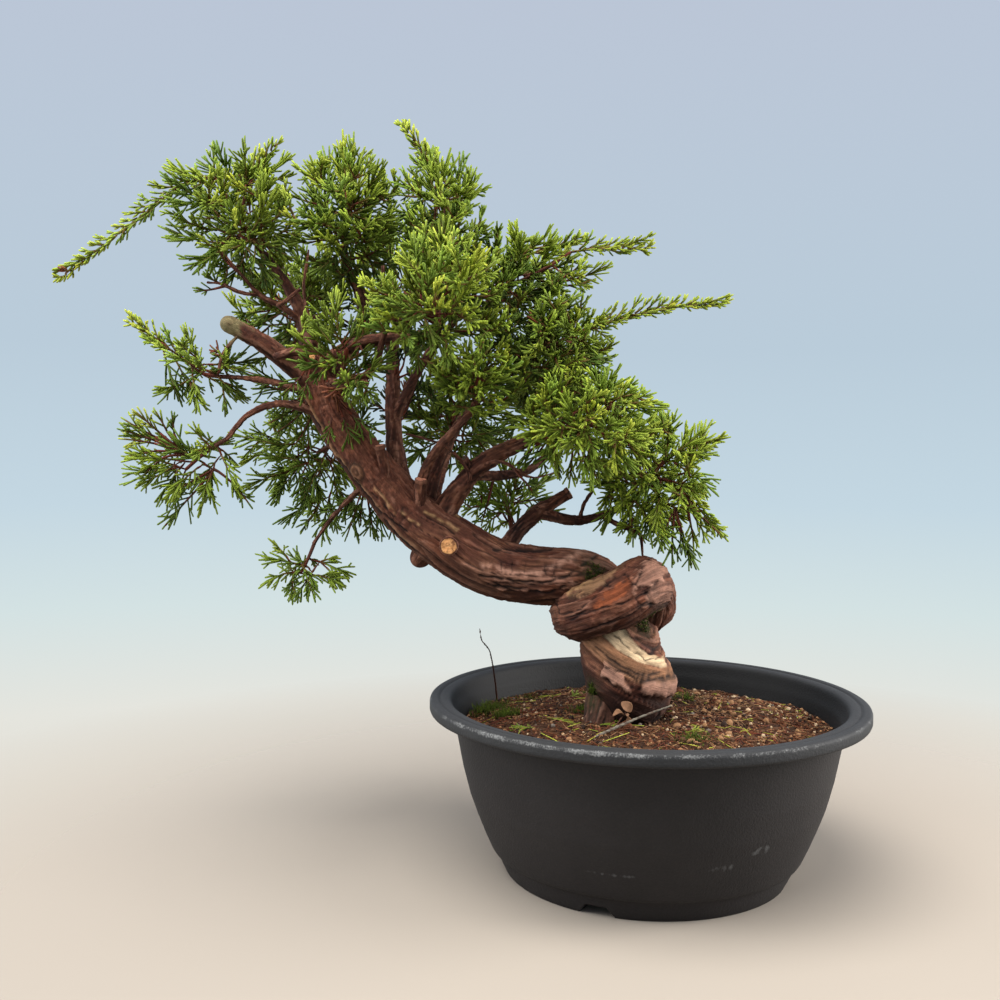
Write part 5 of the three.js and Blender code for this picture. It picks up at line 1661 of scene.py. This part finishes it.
# Sprays listed where the front shows them: where they leave a limb, their tone and their tips
placedSprays = [
    ((-172, -9, 258), "leafMid", [(-174, -18, 235), (-159, -18, 232), (-147, -18, 236)]),
    ((-183, -11, 277), "leafMid", [(-189, -20, 256), (-198, -20, 259)]),
    ((-181, -10, 275), "leafDead", [(-167, -16, 254)]),
    ((-158, -16, 289), "leafMid", [(-174, -26, 274), (-163, -27, 266), (-150, -26, 272), (-157, -27, 268)]),
    ((-158, 8, 214), "leafMid", [(-172, 20, 194), (-163, 20, 188), (-149, 20, 183), (-170, 20, 180),
        (-183, 22, 186), (-142, 20, 182), (-155, 20, 178), (-177, 20, 190)]),
    ((-182, 6, 262), "leafMid", [(-220, 14, 264), (-218, 12, 252), (-226, 14, 274), (-208, 16, 238),
        (-197, 16, 232), (-214, 18, 244), (-203, 16, 254)]),
    ((-224, -13, 326), "leafBright", [(-238, -15, 339)]),
    ((-230, -14, 318), "leafMid", [(-246, -16, 314), (-241, -15, 323)]),
    ((-74, -25, 220), "leafMid", [(-62, -28, 208)]), ((-86, 4, 210), "leafMid", [(-92, 0, 190)]),
    ((-257, -18, 231), "leafBright", [(-284, -21, 245), (-281, -22, 226), (-267, -20, 251),
        (-282, -6, 240)]),
    ((-257, -18, 231), "leafYellow", [(-285, -21, 236), (-277, -21, 250)]),
    ((-257, -18, 231), "leafMid", [(-274, -22, 216), (-258, -20, 249), (-280, -34, 240)]),
    ((-234, -18, 220), "leafMid", [(-262, -22, 190), (-216, -18, 201), (-260, -22, 206)]),
    # These sprays take the dark tone as painted shade for the crown's shaded inside
    ((-140, 24, 246), "leafDark", [(-151, 30, 250), (-156, 32, 258), (-152, 30, 264), (-133, 30, 262),
        (-136, 30, 252), (-145, 34, 262), (-130, 32, 270)]),
    ((-140, 24, 272), "leafDark", [(-151, 30, 275), (-149, 30, 287), (-137, 30, 288), (-134, 30, 275),
        (-143, 34, 290), (-146, 32, 280)]),
    ((-176, 4, 306), "leafDark", [(-168, 12, 316), (-171, 12, 300), (-162, 12, 298), (-165, 12, 311)]),
    ((-54, -20, 238), "leafMid", [(-73, -26, 225), (-67, -26, 221), (-60, -26, 220), (-50, -26, 216)]),
    ((-42, -20, 238), "leafBright", [(-44, -26, 213), (-36, -26, 216), (-28, -26, 214), (-26, -26, 222)]),
    ((14, -6, 200), "leafMid", [(4, -12, 177), (11, -12, 170), (19, -12, 174), (23, -12, 168)]),
    ((20, -6, 202), "leafBright", [(25, -12, 178), (32, -12, 182), (38, -12, 186)]),
    ((-55, -6, 320), "leafBright", [(-24, -8, 327), (-35, -8, 331), (-32, -8, 319)])]
footShare = 0.4
stalkRadii = (0.9, 0.75, 0.6)


def limbNodes():
    # Places along every limb, from which the listed sprays may grow
    lines = [points for radii, points in (*boughs.values(), *thinLimbs)]
    lines = lines + [run["points"] for run in trunk.values()]
    return [alongLine(line, np.linspace(0.1, 1, 30))[0] for line in lines]


def makePlaced(leaf, nodes):
    # The listed sprays, flat to the front, each on a stalk from the nearest limb or twig
    dice = np.random.default_rng(soil["seed"] + 4)
    rows = [(root, light(tone), tip) for root, tone, tips in placedSprays for tip in tips]
    root, tone, tip = (np.array([row[i] for row in rows], float) for i in range(3))
    start = nodes[[np.argmin(np.linalg.norm(nodes - place, axis=1)) for place in root]]
    foot = root + footShare * (tip - root)
    ahead = unit(tip - foot)
    length = np.linalg.norm(tip - foot, axis=1)
    sprays = [(*row, 1.0) for row in zip(foot, ahead, unit(np.cross(ahead, front)), length)]
    longer, shorter, lift = sprayTubes(sprays, dice)
    parts, colours = fingers((longer, shorter), sprayLook["radii"], tone * 0.35, tone * 0.85, dice)
    makePiece("placedSprays", *joined(parts), leaf, "foliage", colour=np.concatenate(colours))
    ones = np.ones((len(rows), 1))
    stalks = (start, root / 2 + (start + foot) / 4, foot, ones * stalkRadii)
    return stalks, (*sprayAxes(sprays, lift), ones * sprayLook["axisRadii"])


def tiled(tone, count):
    # One colour for each of so many twigs
    return np.tile(light(tone) if isinstance(tone, str) else tone, (count, 1))


def growMass(own, leaf):
    # One mass's piece of sprays, and rows of its twigs and of its sprays' axes with their tints
    mass, plant = masses[own], Plant(own)
    plant.grow()
    first = len(plant.sprays)
    plant.growFiner()
    plant.growRunners()
    dice = np.random.default_rng(mass["seed"] + 500)
    longer, shorter, lift = sprayTubes(plant.sprays, dice)
    base, tips = leafColours(mass, plant.sprays, dice)
    parts, colours = fingers((longer, shorter), sprayLook["radii"], base, tips, dice, (3, 2),
                             leafLook["fingerVary"], 1.2)
    makePiece(mass["name"] + "_sprays", *joined(parts), leaf, "foliage", [mass["name"]],
              np.concatenate(colours))
    print(mass["name"], first, "first sprays,", len(plant.sprays), "in all")
    start, end = (np.array([t[i] for t in plant.twigs]) for i in (0, 1))
    reach = np.linalg.norm(end - start, axis=1, keepdims=True)
    bend = (start + end) / 2 + dice.normal(0, 0.07, start.shape) * reach - (0, 0, 0.03) * reach
    radii = np.array([(t[2], (t[2] + t[3]) / 2, t[3]) for t in plant.twigs])
    away = np.linalg.norm((end - mass["centre"]) / np.array(mass["half"]), axis=1)
    young = 0.8 * smooth(1.05, 1.7, away)
    woody = [blend(tiled(tone, len(start)), "leafMid", young) for tone in ("twigBrown", "twigRed")]
    axes = sprayAxes(plant.sprays, lift)
    count = len(axes[0])
    fresh = (tiled(blend("twigRed", "twigGreen", 0.35), count), tiled("twigGreen", count))
    rows = [(start, bend, end, radii), (*axes, np.tile(sprayLook["axisRadii"], (count, 1)))]
    return np.array(plant.at), rows, [woody, fresh]


def makeFoliage():
    # Every mass, the listed sprays, and all their twigs as one piece
    leaf = Finish("juniperLeaf", 0.62, 0.18)
    scales = leaf.grain(0.55, 1, cells=True)
    colour = leaf.shaded(leaf.tint(), scales, 1.1, 0.85)
    colour = leaf.shaded(colour, leaf.grain(3), 0.75, 1.25)
    leaf = leaf.finished(colour, leaf.lifted(scales, 0.18, 0.6))
    woody = tintedFinish("juniperTwig", 0.75, 0.2, (3, 0.5), (0.65, 1.35), 0.2)
    nodes, twigRows, twigTints = limbNodes(), [], []
    for own in range(len(masses)):
        places, rows, tints = growMass(own, leaf)
        nodes.append(places)
        twigRows += rows
        twigTints += tints
    for rows in makePlaced(leaf, np.concatenate(nodes)):
        twigRows.append(rows)
        twigTints.append([tiled(tone, len(rows[0])) for tone in ("twigBrown", "twigRed")])
    start, bend, end, rows = (np.concatenate([row[i] for row in twigRows]) for i in range(4))
    base, tips = (np.concatenate([tint[i] for tint in twigTints]) for i in (0, 1))
    places, faces, shares = manyTubes(start, bend, end, rows, 4, 4)
    places = np.clip(places, *reachBox)
    makePiece("twigs", places, faces, woody, "bough_bark", colour=tubeColours(base, tips, shares))
    return leaf


leaf = makeFoliage()
deadWood = makeLitter()
makeMoss()
makeFallen(leaf, deadWood)


# Floor and light

stageLook = {
    "floorRadius": 2400, "rings": 24, "around": 96, "under": 0.05, "fadeFrom": 0.18, "fadeTo": 0.55,
    "floorTone": (0.29, 0.254, 0.214, 1), "heights": (-0.4, 0.4),
    "sky": [(0.0, (222, 212, 198)), (0.08, (224, 215, 202)), (0.225, (229, 229, 222)),
            (0.33, (212, 226, 227)), (0.44, (196, 215, 226)), (0.61, (186, 204, 218)),
            (1.0, (187, 197, 214))]}


def makeFloor():
    # A flat disc whose edge fades into the backdrop
    look = stageLook
    rings, around, under = look["rings"], look["around"], -look["under"]
    turn = np.linspace(0, 2 * np.pi, around, endpoint=False)
    radius = np.linspace(look["floorRadius"] / rings, look["floorRadius"], rings)
    x, y = (radius[:, None] * trig(turn) for trig in (np.cos, np.sin))
    places = np.concatenate([np.stack([x, y, 0 * x + under], -1).reshape(-1, 3), [(0, 0, under)]])
    ring = np.arange(around)
    middle = np.stack([ring, (ring + 1) % around, np.full(around, len(places) - 1)], -1)
    faces = np.concatenate([gridFaces(rings, around)[:, ::-1], middle])
    mesh = bpy.data.meshes.new("floor")
    mesh.from_pydata((places * mm).tolist(), [], faces.tolist())
    finish = Finish("paleFloor", 0.9, 0.1)
    flat = finish.add("ShaderNodeVectorMath", {0: finish.place}, operation="LENGTH")
    fade = finish.between(flat.outputs["Value"], look["fadeFrom"], look["fadeTo"])
    clear = finish.add("ShaderNodeBsdfTransparent")
    both = finish.add("ShaderNodeMixShader", {0: fade, 1: finish.shader.outputs[0], 2: clear.outputs[0]})
    finish.tree.links.new(both.outputs[0], finish.tree.nodes["Material Output"].inputs["Surface"])
    finish.shader.inputs["Base Color"].default_value = look["floorTone"]
    mesh.materials.append(finish.material)
    floor = bpy.data.objects.new("floor", mesh)
    bpy.context.scene.collection.objects.link(floor)


def makeSky():
    # A backdrop that goes from cream at the floor to a pale blue above
    world = bpy.data.worlds.new("backdrop")
    bpy.context.scene.world = world
    world.use_nodes = True
    nodes, links = world.node_tree.nodes, world.node_tree.links
    place = nodes.new("ShaderNodeTexCoord").outputs["Generated"]
    parts = nodes.new("ShaderNodeSeparateXYZ")
    ramp = nodes.new("ShaderNodeValToRGB")
    span = nodes.new("ShaderNodeMapRange")
    links.new(place, parts.inputs[0])
    links.new(parts.outputs["Z"], span.inputs["Value"])
    lowest, highest = stageLook["heights"]
    span.inputs["From Min"].default_value = lowest
    span.inputs["From Max"].default_value = highest
    links.new(span.outputs[0], ramp.inputs[0])
    stops, elements = stageLook["sky"], ramp.color_ramp.elements
    elements[0].position = stops[0][0]
    elements[1].position = stops[-1][0]
    for position, tone in stops[1:-1]:
        elements.new(position)
    for element, (position, tone) in zip(elements, stops):
        tones["sky"] = tone
        element.color = (*light("sky"), 1)
    links.new(ramp.outputs[0], nodes["Background"].inputs["Color"])


def makeLamp(name, place, toward, size, power, tone=(1, 1, 1)):
    # A round soft lamp of the given width, turned towards a place
    lamp = bpy.data.objects.new(name, bpy.data.lights.new(name, "AREA"))
    lamp.data.shape = "DISK"
    lamp.data.size = size * mm
    lamp.data.energy = power
    lamp.data.color = tone
    lamp.location = Vector(place) * mm
    lamp.rotation_euler = (Vector(toward) - Vector(place)).to_track_quat("-Z", "Y").to_euler()
    bpy.context.scene.collection.objects.link(lamp)


makeFloor()
makeSky()
makeLamp("softAbove", (-300, -420, 1300), (-80, 0, 200), 1200, 36, (1, 0.97, 0.92))
makeLamp("softLeft", (-1100, -150, 500), (-60, 0, 180), 600, 9)
makeLamp("softRight", (1000, -50, 450), (0, 0, 150), 600, 18, (1, 0.97, 0.93))
